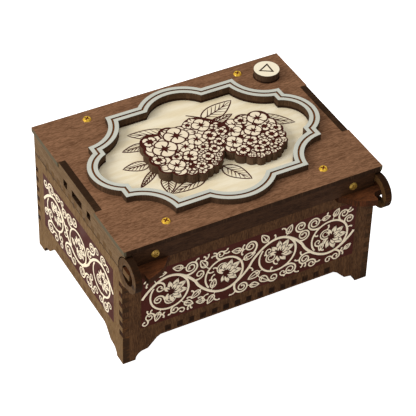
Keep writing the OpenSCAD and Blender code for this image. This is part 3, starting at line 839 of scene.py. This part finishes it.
@dataclass
class Ground:
    """A panel's painted ground, which remembers where it is already covered."""

    wide: float
    high: float
    cell: float = 0.25
    taken: np.ndarray = field(init=False)

    def __post_init__(self) -> None:
        """Makes an empty ground."""
        self.taken = np.zeros((int(self.wide / self.cell) + 2, int(self.high / self.cell) + 2), bool)

    def _cell(self, x: float, y: float) -> tuple[int, int]:
        """Cell of a point."""
        return int((x + self.wide / 2) / self.cell), int((y + self.high / 2) / self.cell)

    def cover(self, point: Point, radius: float) -> None:
        """Marks a disc as covered.

        Args:
            point: Its middle.
            radius: Its radius.
        """
        i, j = self._cell(*point)
        r = int(radius / self.cell) + 1
        for a in range(max(0, i - r), min(self.taken.shape[0], i + r + 1)):
            for b in range(max(0, j - r), min(self.taken.shape[1], j + r + 1)):
                if (a - i) ** 2 + (b - j) ** 2 <= (radius / self.cell) ** 2:
                    self.taken[a, b] = True

    def free(self, point: Point, radius: float, margin: float) -> bool:
        """Tests whether a disc lies on the ground and is not covered.

        Args:
            point: Its middle.
            radius: Its radius.
            margin: Strip along the ground's edge that has to stay clear.

        Returns:
            True where the disc is free.
        """
        rim = margin + radius
        if abs(point[0]) > self.wide / 2 - rim or abs(point[1]) > self.high / 2 - rim:
            return False
        for k in range(7):
            if self.taken[self._cell(*off(point, k * SIXTH_TURN, radius if k else 0.0))]:
                return False
        return True


@dataclass
class Scrollwork:
    """Plan of a wall's vine: a waving stem, rings with blossoms, tendrils and leaves.

    Lengths are in millimetres. Between strokes stays a free gap, and at the panel's edge a margin.
    A blossom is kept as its heart, its size and the way it points.
    """

    wide: float
    high: float
    waves: int
    seed: int
    gap: float = 0.7
    margin: float = 0.4
    strokes: list[Stroke] = field(default_factory=list)
    blossoms: list[tuple[Point, float, float]] = field(default_factory=list)
    ground: Ground = field(init=False)
    dice: random.Random = field(init=False)

    def __post_init__(self) -> None:
        """Sets up the ground and the dice."""
        self.ground = Ground(self.wide, self.high)
        self.dice = random.Random(self.seed)

    def keep(self, stroke: Stroke, gap: Optional[float] = None) -> None:
        """Takes a stroke into the plan and covers its ground."""
        self.strokes.append(stroke)
        for point, half in zip(stroke.points, stroke.halves):
            self.ground.cover(point, half + (self.gap if gap is None else gap))

    def plan(self) -> None:
        """Lays out the whole vine."""
        self.stem()
        for _ in range(8):
            self.fill_coils(tries=50, run=(3.0, 12.0), radius=(3.2, 4.2), half=0.74)
            self.fill_leaves(tries=90, size=7.4)
        for _ in range(8):
            self.fill_coils(tries=50, run=(2.5, 10.0), radius=(2.3, 3.0), half=0.66)
            self.fill_leaves(tries=120, size=6.0)
        self.fill_hooks(tries=1200)
        self.fill_leaves(tries=900, size=5.0)
        self.fill_coils(tries=500, run=(2.0, 8.0), radius=(1.7, 2.2), half=0.56)

    def stem(self) -> None:
        """Draws the waving main stem and, under each of its crests, a ring round a blossom."""
        span = self.wide / self.waves
        radius = min(0.36 * span, 0.32 * self.high)
        rise = radius + 0.15
        start = -self.wide / 2
        steps = int(self.wide / 0.7)
        points = []
        for k in range(steps + 1):
            x = start + 0.6 + (self.wide - 1.2) * k / steps
            wave = math.sin(math.pi * (x - start) / span)
            points.append((x, rise * math.copysign(abs(wave) ** 0.8, wave)))
        self.keep(Stroke(points, [0.8] * len(points)))
        for n in range(self.waves):
            up = 1 if n % 2 == 0 else -1
            centre = (start + (n + 0.5) * span, up * (rise - radius))
            self.ring(centre, up, radius)
            size = 0.8 * radius
            turn = self.dice.uniform(-0.5, 0.9)
            heart = off(centre, turn, 0.1 * radius)
            self.blossoms.append((heart, size, turn))
            self.ground.cover(off(heart, turn, 0.3 * size), 0.76 * size)
            back = turn + math.pi + self.dice.choice((-0.5, 0.5))
            near = off(heart, back, 0.2 * size)
            self.keep(coil(near, back, 0.25 * radius, 0.3 * radius, self.dice.choice((-1, 1)), 0.6))

    def ring(self, centre: Point, up: int, radius: float) -> None:
        """Draws one ring that leaves the stem at its crest and winds in round a blossom.

        Args:
            centre: Middle of the ring.
            up: 1 where the stem's crest is at the top, -1 where it is at the bottom.
            radius: Radius of the ring at its start.
        """
        points, halves = [], []
        for k in range(49):
            t = k / 48
            angle = math.radians(90 - 305 * t)
            reach = radius * (1.0 - 0.07 * t)
            points.append((centre[0] + reach * math.cos(angle), centre[1] + up * reach * math.sin(angle)))
            halves.append(0.74 - 0.22 * t)
        self.keep(Stroke(points, halves))

    def fits(self, stroke: Stroke, skip: float) -> bool:
        """Tests whether a stroke finds free ground.

        Args:
            stroke: The stroke.
            skip: Length at its start that may touch what it grows from.

        Returns:
            True where it does.
        """
        x0, y0 = stroke.points[0]
        for (x, y), half in zip(stroke.points, stroke.halves):
            if math.hypot(x - x0, y - y0) < skip:
                if abs(x) > self.wide / 2 - 0.8 or abs(y) > self.high / 2 - 0.8:
                    return False
                continue
            if not self.ground.free((x, y), half, self.margin):
                return False
        return True

    def root(self) -> tuple[Stroke, int]:
        """A random place on a stroke that something can grow from."""
        weights = [len(stroke.points) for stroke in self.strokes]
        stroke = self.dice.choices(self.strokes, weights)[0]
        return stroke, self.dice.randrange(1, max(2, int(0.8 * len(stroke.points))))

    def fill_coils(
        self, tries: int, run: tuple[float, float], radius: tuple[float, float], half: float
    ) -> None:
        """Tries to grow coils from what is there already.

        Args:
            tries: How many are tried.
            run: Shortest and longest stalk.
            radius: Smallest and largest coil.
            half: Half width at the root.
        """
        for _ in range(tries):
            stroke, k = self.root()
            side = self.dice.choice((-1, 1))
            lean = side * math.radians(self.dice.uniform(10, 42))
            size = self.dice.uniform(*radius)
            way = stroke.heading(k) + lean + self.dice.choice((0, 0, math.pi))
            new = coil(stroke.points[k], way, self.dice.uniform(*run), size, side, half)
            if self.fits(new, 2.3 + 0.3 * size):
                self.keep(new)
                self.ground.cover(new.points[-1], 0.7 * size)

    def fill_hooks(self, tries: int) -> None:
        """Tries to grow short hooked shoots with round tips in what room is left."""
        for _ in range(tries):
            stroke, k = self.root()
            side = self.dice.choice((-1, 1))
            way = stroke.heading(k) + side * math.radians(self.dice.uniform(20, 60))
            length = self.dice.uniform(2.6, 5.5)
            new = curl(stroke.points[k], way, length, 1.1 * length, 0.34 * length, side, 0.5)
            new.halves[-1] = new.halves[-2] = 0.58
            if self.fits(new, 1.5):
                self.keep(new)

    def fill_leaves(self, tries: int, size: float) -> None:
        """Tries to grow leaves of the given length on short stalks."""
        for _ in range(tries):
            stroke, k = self.root()
            side = self.dice.choice((-1, 1))
            way = stroke.heading(k) + side * math.radians(self.dice.uniform(25, 80))
            stalk = curl(stroke.points[k], way, self.dice.uniform(1.6, 3.4), 6.0, 3.0, side, 0.3)
            base = stalk.points[-1]
            out = stalk.heading(len(stalk.points) - 1)
            length = size * self.dice.uniform(0.85, 1.12)
            middle, tip = off(base, out, 0.5 * length), off(base, out, 0.86 * length)
            if not self.ground.free(middle, 0.36 * length, self.margin):
                continue
            if not self.ground.free(tip, 0.12 * length, self.margin) or not self.fits(stalk, 1.4):
                continue
            self.keep(stalk, 0.2)
            for line in leaf_lines(base, out, length, 0.32 * length, 0.36, 1):
                self.keep(line, 0.25)
            self.ground.cover(middle, 0.42 * length)


def leaf_lines(
    base: Point, way: float, length: float, half_wide: float, half: float, veins: int, bend: float = 0.0
) -> list[Stroke]:
    """Outline, midrib and side veins of a leaf.

    Args:
        base: Where the stalk meets the leaf.
        way: Direction of the leaf, in radians.
        length: Length of the leaf.
        half_wide: Half its width.
        half: Half width of the outline.
        veins: Side veins on each side.
        bend: Sideways sweep of the tip over the length.

    Returns:
        The leaf's strokes.
    """
    cos, sin = math.cos(way), math.sin(way)

    def at(t: float, across: float) -> Point:
        """Finds a point of the leaf.

        Args:
            t: Part of the way from the base to the tip.
            across: Distance from the middle vein.

        Returns:
            The point.
        """
        x = t * length
        y = across + bend * length * t * t
        return base[0] + x * cos - y * sin, base[1] + x * sin + y * cos

    def bulge(t: float) -> float:
        """Half width of the leaf at t."""
        return half_wide * math.sin(math.pi * t**0.8) ** 0.8 * (1 - 0.25 * t)

    ts = [k / 12 for k in range(13)]
    edge = [at(t, bulge(t)) for t in ts] + [at(t, -bulge(t)) for t in reversed(ts[1:-1])]
    lines = [Stroke(edge, [half] * len(edge), closed=True)]
    rib = [at(0.94 * k / 8, 0.0) for k in range(9)]
    lines.append(Stroke(rib, [half * (1.15 - 0.09 * k) for k in range(9)]))
    for k in range(veins):
        t0 = 0.16 + 0.62 * k / veins
        t1 = min(0.96, t0 + 0.2)
        for side in (1, -1):
            reach = 0.86 * bulge(t1)
            vein = [at(t0 + (t1 - t0) * q, side * reach * q**1.2) for q in (0, 0.35, 0.7, 1)]
            lines.append(Stroke(vein, [half * 0.75, half * 0.7, half * 0.55, half * 0.3]))
    return lines


@dataclass
class WallScroll:
    """The painted vine of one wall."""

    node: str
    across: tuple[float, float, float]
    out: tuple[float, float, float]
    waves: int
    seed: int
    gap: float = 0.7
    proud: float = 0.02

    def build(self, cream: Material, ground: Material) -> None:
        """Draws the vine on the wall's inlay and lets it ride on the chest.

        Args:
            cream: Material of stems and petals.
            ground: Material of the lines in the petals.
        """
        low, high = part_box(self.node)
        centre = (low + high) / 2
        size = high - low
        out, across = Vector(self.out), Vector(self.across)
        thick = abs(size.dot(out))
        origin = centre + out * (thick / 2 + self.proud * MM)
        place = frame_of(origin, across, (0, 0, 1))
        plan = Scrollwork(abs(size.dot(across)) / MM, size.z / MM, self.waves, self.seed, self.gap)
        plan.plan()
        vine = draw(plan.strokes, f"{self.node}_vine", place, 0.28, cream)
        stamp = Stamp(petal(PetalShape.POINTED, 0.05, cream, ground))
        for heart, radius, turn in plan.blossoms:
            self.blossom(stamp, place @ Matrix.Translation((*heart, 0)), radius, turn)
        blossoms = stamp.done(f"{self.node}_blossoms")
        for piece in (vine, blossoms):
            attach(piece, "chest")
        LOG.info("%s: %d strokes, %d blossoms", self.node, len(plan.strokes), len(plan.blossoms))

    def blossom(self, stamp: Stamp, place: Matrix, radius: float, turn: float) -> None:
        """Stamps one lily-like blossom: a wide fan of long petals and a short inner row."""
        outer, inner = (8, 1.14, 2.2, 0.05), (4, 0.74, 0.85, 0.1)
        for count, reach, spread, lift in (outer, inner):
            for k in range(count):
                angle = turn + spread * (2 * k / (count - 1) - 1)
                long = radius * reach * (0.76 + 0.24 * math.cos(angle - turn))
                stamp.put(
                    place
                    @ Matrix.Rotation(angle, 4, "Z")
                    @ Matrix.Diagonal((long, long, lift + 0.004 * k, 1))
                    @ Matrix.Translation((0.06, 0, 0))
                )


# ---------------------------------------------------------------- carved flowers and leaves


@dataclass
class FlowerHead:
    """One carved head: a scalloped block whose top is covered with small flowers.

    The head leans to one side, in degrees: there its scallops are widest and its flowers grow from
    small to big. The extra bulges are discs, each its middle and its radius.
    """

    node: str
    centre: Point
    reach: float
    petals: int
    petal_r: float
    lean: float
    big: float
    small: float
    seed: int
    extra: tuple[tuple[float, float, float], ...] = ()

    def scallops(self) -> list[tuple[float, float, float, float]]:
        """Middle, radius and direction of each scallop round the head."""
        found = []
        for k in range(self.petals):
            turn = k * 2 * math.pi / self.petals
            r = self.petal_r * (1 + 0.45 * math.cos(turn))
            angle = math.radians(self.lean) + turn + 0.45 * math.sin(turn)
            away = self.reach - r + 0.5 * math.sin(math.radians(k * 137.5))
            found.append((*off((0.0, 0.0), angle, away), r, angle))
        return found

    def depth(self, x: float, y: float) -> float:
        """Measures how far inside the head's outline a point lies.

        Args:
            x: The point's first coordinate.
            y: The point's second coordinate.

        Returns:
            The distance in millimetres, negative outside.
        """
        core = (0.0, 0.0, self.reach - 0.5 * self.petal_r)
        discs = [core, *(scallop[:3] for scallop in self.scallops()), *self.extra]
        return max(r - math.hypot(x - a, y - b) for a, b, r in discs)

    def size_at(self, x: float, y: float) -> float:
        """Finds the size of the flowers at a point: big on the side the head leans to.

        Args:
            x: The point's first coordinate.
            y: The point's second coordinate.

        Returns:
            The size in millimetres.
        """
        lean = math.radians(self.lean)
        along = (x * math.cos(lean) + y * math.sin(lean)) / self.reach
        return self.small + (self.big - self.small) * min(1.0, max(0.0, 0.62 + 0.62 * along)) ** 1.2

    def scatter(self, dice: random.Random) -> Point:
        """A random point near the head."""
        return dice.uniform(-1.6, 1.6) * self.reach, dice.uniform(-1.2, 1.2) * self.reach

    def florets(self, dice: random.Random) -> list[tuple[float, float, float]]:
        """Places the small flowers, the biggest first.

        Args:
            dice: The head's random numbers.

        Returns:
            The flowers, each as x, y and size.
        """
        placed: list[tuple[float, float, float]] = []
        for step in range(9):
            for _ in range(260):
                x, y = self.scatter(dice)
                size = self.size_at(x, y) * (1.05 - 0.07 * step)
                if self.depth(x, y) < 0.9 * size:
                    continue
                if all(math.hypot(x - a, y - b) > 0.77 * (size + c) for a, b, c in placed):
                    placed.append((x, y, size))
        return placed

    def build(self, stamps: "PetalStamps", origin: Point) -> int:
        """Stamps the head's petals on its block.

        Args:
            stamps: The round petals.
            origin: Middle of the lid's panel, in millimetres.

        Returns:
            How many petals were placed.
        """
        dice = random.Random(self.seed)
        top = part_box(self.node)[1].z / MM
        base = (origin[0] + self.centre[0], origin[1] + self.centre[1])
        count = 0
        for n, (x, y, r, angle) in enumerate(self.scallops()):
            spot = off((base[0] + x, base[1] + y), angle, -r)
            stamps.put((*spot, top), angle, 1.97 * r, 0.99 * r, 0.03 + 0.004 * (n * 5 % 7))
            count += 1
        flowers = self.florets(dice)
        for x, y in self.gaps(dice, flowers):
            size, angle = self.size_at(x, y), dice.uniform(0, 6.28)
            spot = off((base[0] + x, base[1] + y), angle, -0.5 * size)
            stamps.put((*spot, top), angle, size, 0.44 * size, 0.07 + 0.0002 * count)
            count += 1
        for n, (x, y, size) in enumerate(reversed(flowers)):
            turn = dice.uniform(0, 6.28)
            number = dice.choice((4, 4, 5)) if size > 3.2 else dice.choice((3, 4))
            for k in range(number):
                angle = turn + 2 * math.pi * k / number + dice.uniform(-0.1, 0.1)
                long = size * dice.uniform(0.95, 1.06)
                wide = long * (0.62 if number < 5 else 0.5) * dice.uniform(0.92, 1.04)
                lift = 0.14 + 0.28 * n / len(flowers) + 0.0017 * k
                stamps.put((base[0] + x, base[1] + y, top), angle, long, wide, lift)
                count += 1
        return count

    def gaps(self, dice: random.Random, flowers: Sequence[tuple[float, float, float]]) -> list[Point]:
        """Finds places between the flowers for single petals.

        Args:
            dice: The head's random numbers.
            flowers: The flowers, each as x, y and size.

        Returns:
            The places.
        """
        found: list[Point] = []
        for _ in range(2600):
            x, y = self.scatter(dice)
            room = 0.5 * self.size_at(x, y)
            if self.depth(x, y) < 0.85 * room:
                continue
            if any(math.hypot(x - a, y - b) < 0.75 * c for a, b, c in flowers):
                continue
            if all(math.hypot(x - a, y - b) > 1.5 * room for a, b in found):
                found.append((x, y))
        return found


class PetalStamps:
    """Round petals of three sizes, so that their rims come out about equally wide."""

    def __init__(self, paint: Material, line: Material) -> None:
        """Models the three petals."""
        self.kinds = [
            (limit, Stamp(petal(PetalShape.ROUND, rim, paint, line)))
            for limit, rim in ((5.2, 0.1), (3.4, 0.15), (0, 0.2))
        ]

    def put(self, spot: Sequence[float], angle: float, long: float, half_wide: float, high: float) -> None:
        """Stands a petal of the given length, half width and height on a spot, in millimetres."""
        stamp = next(stamp for limit, stamp in self.kinds if long >= limit)
        stamp.put(
            Matrix.Scale(MM, 4)
            @ Matrix.Translation(spot)
            @ Matrix.Rotation(angle, 4, "Z")
            @ Matrix.Diagonal((long, half_wide / PetalShape.ROUND.value[0], high, 1))
        )

    def done(self, name: str) -> Object:
        """Joins all the petals into one piece."""
        return join([s.done(f"{name}_{n}") for n, (_, s) in enumerate(self.kinds) if s.copies], name)


@dataclass(frozen=True)
class Leaf:
    """A leaf burnt into the lid's panel, in millimetres and degrees."""

    base: Point
    way: float
    length: float
    half_wide: float
    bend: float = 0.0


@dataclass(frozen=True)
class Twig:
    """A bare twig burnt into the lid's panel."""

    base: Point
    way: float
    length: float
    half: float


@dataclass
class LidRelief:
    """The lid's carved flowers and the leaves burnt into the panel behind them."""

    heads: tuple[FlowerHead, ...]
    leaves: tuple[Leaf, ...]
    twigs: tuple[Twig, ...]

    def build(self, cream: Material, maroon: Material) -> None:
        """Builds petals and leaves and lets them ride on the lid.

        Args:
            cream: Material of petals and leaves.
            maroon: Material of the lines in the petals.
        """
        low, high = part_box("ornament_panel")
        origin = ((low.x + high.x) / 2 / MM, (low.y + high.y) / 2 / MM)
        stamps = PetalStamps(cream, maroon)
        count = sum(head.build(stamps, origin) for head in self.heads)
        petals = stamps.done("relief_petals")
        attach(petals, "lid")
        lines: list[Stroke] = []
        for leaf in self.leaves:
            way = math.radians(leaf.way)
            lines += leaf_lines(leaf.base, way, leaf.length, leaf.half_wide, 0.42, 5, leaf.bend)
        for twig in self.twigs:
            lines.append(curl(twig.base, math.radians(twig.way), twig.length, 60.0, 40.0, 1, twig.half))
        place = frame_of((origin[0] * MM, origin[1] * MM, high.z + 0.01 * MM), (1, 0, 0), (0, 1, 0))
        burnt = draw(lines, "panel_leaves", place, 0.12, maroon)
        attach(burnt, "lid")
        LOG.info("relief: %d petals, %d leaf lines", count, len(lines))


# ---------------------------------------------------------------- button spring


@dataclass
class ButtonSpring:
    """The coil under the play button, whose wire radius and travel are in millimetres; the travel is not
    used.
    """

    node: str = "button_spring"
    turns: int = 5
    wire: float = 0.35
    travel: float = 2.5

    def build(self, steel: Material) -> None:
        """Winds the coil in the place of the plain rings.

        Args:
            steel: Material of the coil.
        """
        low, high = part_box(self.node)
        centre = (low + high) / 2
        radius = (high.x - low.x) / 2 - self.wire * MM
        deselect()
        bpy.ops.mesh.primitive_circle_add(
            vertices=8,
            radius=self.wire * MM,
            fill_type="NOTHING",
            location=(centre.x + radius, centre.y, low.z + self.wire * MM),
            rotation=(math.pi / 2, 0, 0),
        )
        coil = bpy.context.object
        coil.name = "spring_coil"
        settle(coil)
        coil.data.transform(Matrix.Translation((-centre.x, -centre.y, 0)))
        screw = coil.modifiers.new("wind", "SCREW")
        screw.steps = screw.render_steps = 28
        screw.iterations = self.turns
        screw.screw_offset = (high.z - low.z - 2 * self.wire * MM) / self.turns
        screw.use_merge_vertices = False
        activate(coil)
        bpy.ops.object.modifier_apply(modifier="wind")
        coil.data.transform(Matrix.Translation((centre.x, centre.y, 0)))
        bpy.ops.object.mode_set(mode="EDIT")
        bpy.ops.mesh.select_all(action="SELECT")
        bpy.ops.mesh.remove_doubles(threshold=0.002 * MM)
        bpy.ops.mesh.select_mode(type="EDGE")
        bpy.ops.mesh.select_all(action="DESELECT")
        bpy.ops.mesh.select_non_manifold()
        bpy.ops.mesh.fill_holes(sides=12)
        bpy.ops.mesh.select_all(action="SELECT")
        bpy.ops.mesh.normals_make_consistent(inside=False)
        bpy.ops.object.mode_set(mode="OBJECT")
        coil.data.name = "spring_coil"
        smooth(coil)
        wear(coil, steel)
        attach(coil, "lid")
        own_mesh(coil)
        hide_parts(self.node)
        LOG.info("button spring: %d turns", self.turns)


# ---------------------------------------------------------------- dressing the frame


@dataclass
class Workshop:
    """All finishes of the box, and which node of the frame wears which."""

    fx: Effects
    side_wood: Wood = Wood(
        srgb(124, 95, 60), srgb(95, 70, 42), char=srgb(58, 40, 26), ember=srgb(104, 66, 36),
        ear=srgb(188, 178, 170), sooty=True, figure=0.3
    )
    wall_wood: Wood = Wood(
        srgb(98, 67, 41), srgb(58, 35, 21), char=srgb(42, 27, 17), ember=srgb(88, 48, 26), figure=0.3
    )
    floor_wood: Wood = Wood(
        srgb(98, 67, 41), srgb(58, 35, 21), char=srgb(36, 22, 14), ember=srgb(74, 48, 30),
        end_x=srgb(88, 65, 41)
    )
    lid_wood: Wood = Wood(
        srgb(149, 108, 79), srgb(100, 68, 46), ember=srgb(72, 50, 34),
        end_x=srgb(84, 75, 58), figure=0.25, pores=0.3
    )
    rail_wood: Wood = Wood(
        srgb(118, 92, 62), srgb(90, 68, 44), char=srgb(50, 34, 22), ember=srgb(72, 49, 32), sooty=True
    )
    dark_wood: Wood = Wood(srgb(70, 45, 28), srgb(43, 26, 16))
    bracket_wood: Wood = Wood(
        srgb(104, 60, 34), srgb(62, 35, 20), char=srgb(56, 32, 19), ember=srgb(92, 50, 28),
        end_x=srgb(86, 64, 40)
    )
    cream: Paint = Paint(srgb(243, 227, 198), srgb(206, 182, 142), rub=0.04)
    panel: Wood = Wood(srgb(247, 235, 207), srgb(236, 219, 182), figure=0.75, pores=0.0, bump=0.08)
    maroon: Paint = Paint(srgb(72, 27, 18), srgb(46, 15, 10), cloud=0.5, rub=0.2)
    block: Paint = Paint(srgb(70, 30, 20), srgb(40, 16, 11), edge=srgb(86, 66, 50), face_from=90.1 * MM)
    grey: Paint = Paint(
        srgb(203, 203, 190), srgb(150, 146, 132), cloud=0.2, rub=0.05,
        edge=srgb(74, 54, 38), face_from=90.8 * MM, groove=srgb(122, 72, 34)
    )
    button: Paint = Paint(
        srgb(252, 240, 212), srgb(220, 198, 156), cloud=0.2, rub=0.03,
        edge=srgb(80, 60, 44), face_from=91.7 * MM
    )
    gold: Metal = Metal(
        srgb(250, 200, 62), srgb(226, 164, 40), age=0.25, bump=0.03, shine=0.35, recess=srgb(120, 36, 10)
    )
    # Painted shade: a darker, less shiny copy of the gold, for the rail and comb screws that lie in shade.
    dull_gold: Metal = Metal(srgb(176, 140, 58), srgb(110, 70, 30), age=0.5, shine=0.5)
    brass: Metal = Metal(srgb(214, 178, 104), srgb(140, 104, 54), age=0.5)
    steel: Metal = Metal(srgb(190, 190, 188), srgb(120, 116, 112), age=0.4)

    def material(self, finish: str, *how: Enum) -> Material:
        """The material of a finish, made on first use; a wood is told its grain and facing."""
        name = "_".join((finish, *(choice.name.lower() for choice in how)))
        return bpy.data.materials.get(name) or getattr(self, finish).make(name, self.fx, *how)

    def dress(self) -> None:
        """Gives every node of the frame its finish."""
        g, f = Grain, Facing
        worn = {
            ("side_wood", g.ALONG_Z, f.X): ("left_side", "right_side", "button_stem"),
            ("side_wood", g.ALONG_Y, f.X): ("long_divider",),
            ("side_wood", g.ALONG_X, f.Y): ("cross_divider",),
            ("wall_wood", g.ALONG_Z, f.Y): ("rear_panel", "front_panel"),
            ("floor_wood", g.ALONG_X, f.Z): ("floor_plate",),
            ("lid_wood", g.ALONG_X, f.Z): ("lid_plate",),
            ("bracket_wood", g.ALONG_X, f.Z): ("lid_inner_plate",),
            ("rail_wood", g.ALONG_Y, f.X): ("lid_left_rail", "lid_right_rail"),
            ("rail_wood", g.ALONG_X, f.Z): ("lid_spacers", "button_collar"),
            ("dark_wood", g.ALONG_X, f.Y): ("lid_hinge_rail", "lid_front_rail"),
            ("dark_wood", g.ALONG_X, f.Z): ("button_disc",),
            ("panel", g.ALONG_X, f.Z): ("ornament_panel",),
            ("maroon",): tuple(wall.node for wall in WALLS),
            ("block",): ("flower_left", "flower_right"),
            ("grey",): ("ornament_frame",),
            ("button",): ("button_cap",),
            ("gold",): ("lid_screws",),
            ("dull_gold",): ("rail_screws", "comb_screws"),
        }
        finishes = {node: finish for finish, nodes in worn.items() for node in nodes}
        for part in frame["record"]["subparts"]:
            if part["material_slot"] in ("brass", "steel"):
                finishes.setdefault(part["node"], (part["material_slot"],))
        for node, finish in finishes.items():
            wear(frame["nodes"][node], self.material(*finish))
        left = sorted(set(frame["nodes"]) - set(finishes))
        LOG.info("dressed %d nodes, %d left: %s", len(finishes), len(left), left)


# ---------------------------------------------------------------- studio


@dataclass
class Studio:
    """Floor, lights and camera."""

    lens: float = 157.85
    distance: float = 1.0558
    azimuth: float = -29.21
    elevation: float = 40.72
    roll: float = 1.59
    target: tuple[float, float, float] = (0.0035, 0.00756, 0.03898)

    def floor(self) -> None:
        """A pale floor that glows a little, so that it stays nearly white."""
        deselect()
        bpy.ops.mesh.primitive_plane_add(size=6.0, location=(0, 0, -0.0003))
        floor = bpy.context.object
        floor.name = "studio_floor"
        settle(floor)
        material, s, shader = blank("studio_white")
        shader.inputs["Base Color"].default_value = (0.9, 0.9, 0.9, 1)
        shader.inputs["Roughness"].default_value = 0.9
        shader.inputs["Emission Strength"].default_value = 1.0
        seen = s.add("ShaderNodeLightPath").outputs["Is Camera Ray"]
        s.feed(shader.inputs["Emission Color"], s.mix(seen, (0.25, 0.25, 0.25), (1.0, 1.0, 1.0)))
        wear(floor, material)

    def lamp(self, name: str, place: Sequence[float], size: float, power: float) -> None:
        """Adds a soft square lamp that looks at the box.

        Args:
            name: Name of the lamp.
            place: Where it stands, in metres.
            size: Its side, in metres.
            power: Its power, in watts.
        """
        deselect()
        bpy.ops.object.light_add(type="AREA", location=place)
        lamp = bpy.context.object
        lamp.name = name
        lamp.data.shape = "SQUARE"
        lamp.data.size = size
        lamp.data.energy = power
        aim = Vector(self.target) - Vector(place)
        lamp.rotation_euler = aim.to_track_quat("-Z", "Y").to_euler()

    def light(self) -> None:
        """Soft daylight from the left, a weaker fill and a pale sky."""
        self.lamp("key", (-1.7, 0.1, 1.2), 1.1, 30)
        self.lamp("top", (0.1, 0.3, 2.0), 1.6, 13)
        self.lamp("fill", (0.5, -1.7, 0.7), 1.4, 3)
        world = bpy.data.worlds.new("sky")
        world.use_nodes = True
        back = world.node_tree.nodes["Background"]
        back.inputs[0].default_value = (1, 1, 1, 1)
        back.inputs[1].default_value = 0.3
        bpy.context.scene.world = world
        bpy.context.scene.view_settings.view_transform = "Standard"

    def camera(self) -> None:
        """Sets the camera in front of the near left corner, above the box."""
        az, el, roll = (math.radians(a) for a in (self.azimuth, self.elevation, self.roll))
        back = Vector((math.sin(az) * math.cos(el), -math.cos(az) * math.cos(el), math.sin(el)))
        right = (-back).cross(Vector((0, 0, 1))).normalized()
        up = right.cross(-back)
        x = right * math.cos(roll) + up * math.sin(roll)
        y = -right * math.sin(roll) + up * math.cos(roll)
        data = bpy.data.cameras.new("camera")
        data.lens = self.lens
        data.sensor_width = 36.0
        data.clip_start = 0.05
        camera = bpy.data.objects.new("camera", data)
        bpy.context.scene.collection.objects.link(camera)
        turn = Matrix((x, y, back)).transposed().to_4x4()
        camera.matrix_world = Matrix.Translation(Vector(self.target) + back * self.distance) @ turn
        bpy.context.scene.camera = camera

    def build(self) -> None:
        """Builds the whole studio."""
        self.camera()
        self.floor()
        self.light()


WALLS = (
    WallScroll("rear_inlay", across=(1, 0, 0), out=(0, -1, 0), waves=4, seed=11),
    WallScroll("front_inlay", across=(-1, 0, 0), out=(0, 1, 0), waves=4, seed=23),
    WallScroll("left_inlay", across=(0, -1, 0), out=(-1, 0, 0), waves=3, seed=37, gap=1.2),
    WallScroll("right_inlay", across=(0, 1, 0), out=(1, 0, 0), waves=3, seed=41, gap=1.2),
)
RELIEF = LidRelief(
    heads=(
        FlowerHead(
            "flower_right", centre=(25.6, -7.4), reach=20.0, petals=17, petal_r=3.9, lean=110,
            big=6.6, small=2.5, seed=5, extra=((10.9, 12.4, 7.0),)
        ),
        FlowerHead(
            "flower_left", centre=(-14.5, -2.3), reach=22.6, petals=17, petal_r=4.4, lean=125,
            big=7.8, small=2.7, seed=3,
            extra=((16.0, 15.8, 8.4), (24.5, 8.3, 7.6), (18.5, 2.3, 10.0), (-13.0, 13.8, 7.2))
        ),
    ),
    leaves=(
        Leaf(base=(-10, 20), way=158, length=26, half_wide=5.6),
        Leaf(base=(-27, 17), way=172, length=16, half_wide=3.6, bend=0.1),
        Leaf(base=(-34, 2), way=176, length=15.5, half_wide=4.4, bend=-0.05),
        Leaf(base=(-33, -4), way=216, length=18, half_wide=2.4),
        Leaf(base=(-29, -12), way=238, length=15.5, half_wide=4.6, bend=0.12),
        Leaf(base=(-12, -23), way=186, length=22.5, half_wide=4.2, bend=0.05),
        Leaf(base=(1.5, -18), way=-66, length=19, half_wide=5.6, bend=0.08),
        Leaf(base=(38, 12), way=-30, length=23.5, half_wide=5.2, bend=-0.1),
        Leaf(base=(10.5, 24), way=14, length=25, half_wide=6.2, bend=0.1),
        Leaf(base=(12, 17.5), way=12, length=17, half_wide=3.2),
    ),
    twigs=(
        Twig(base=(16.5, 18.5), way=124, length=18, half=0.62),
        Twig(base=(17.5, 19), way=128, length=17, half=0.5),
    ),
)


def main() -> None:
    """Builds the studio, dresses the frame and adds the decoration."""
    logging.basicConfig(level=logging.INFO, format="%(name)s: %(message)s")
    Studio().build()
    shop = Workshop(Effects())
    shop.dress()
    cream, maroon = shop.material("cream"), shop.material("maroon")
    for wall in WALLS:
        wall.build(cream, maroon)
    RELIEF.build(cream, maroon)
    ButtonSpring().build(shop.material("steel"))


if __name__ == "__main__":
    main()
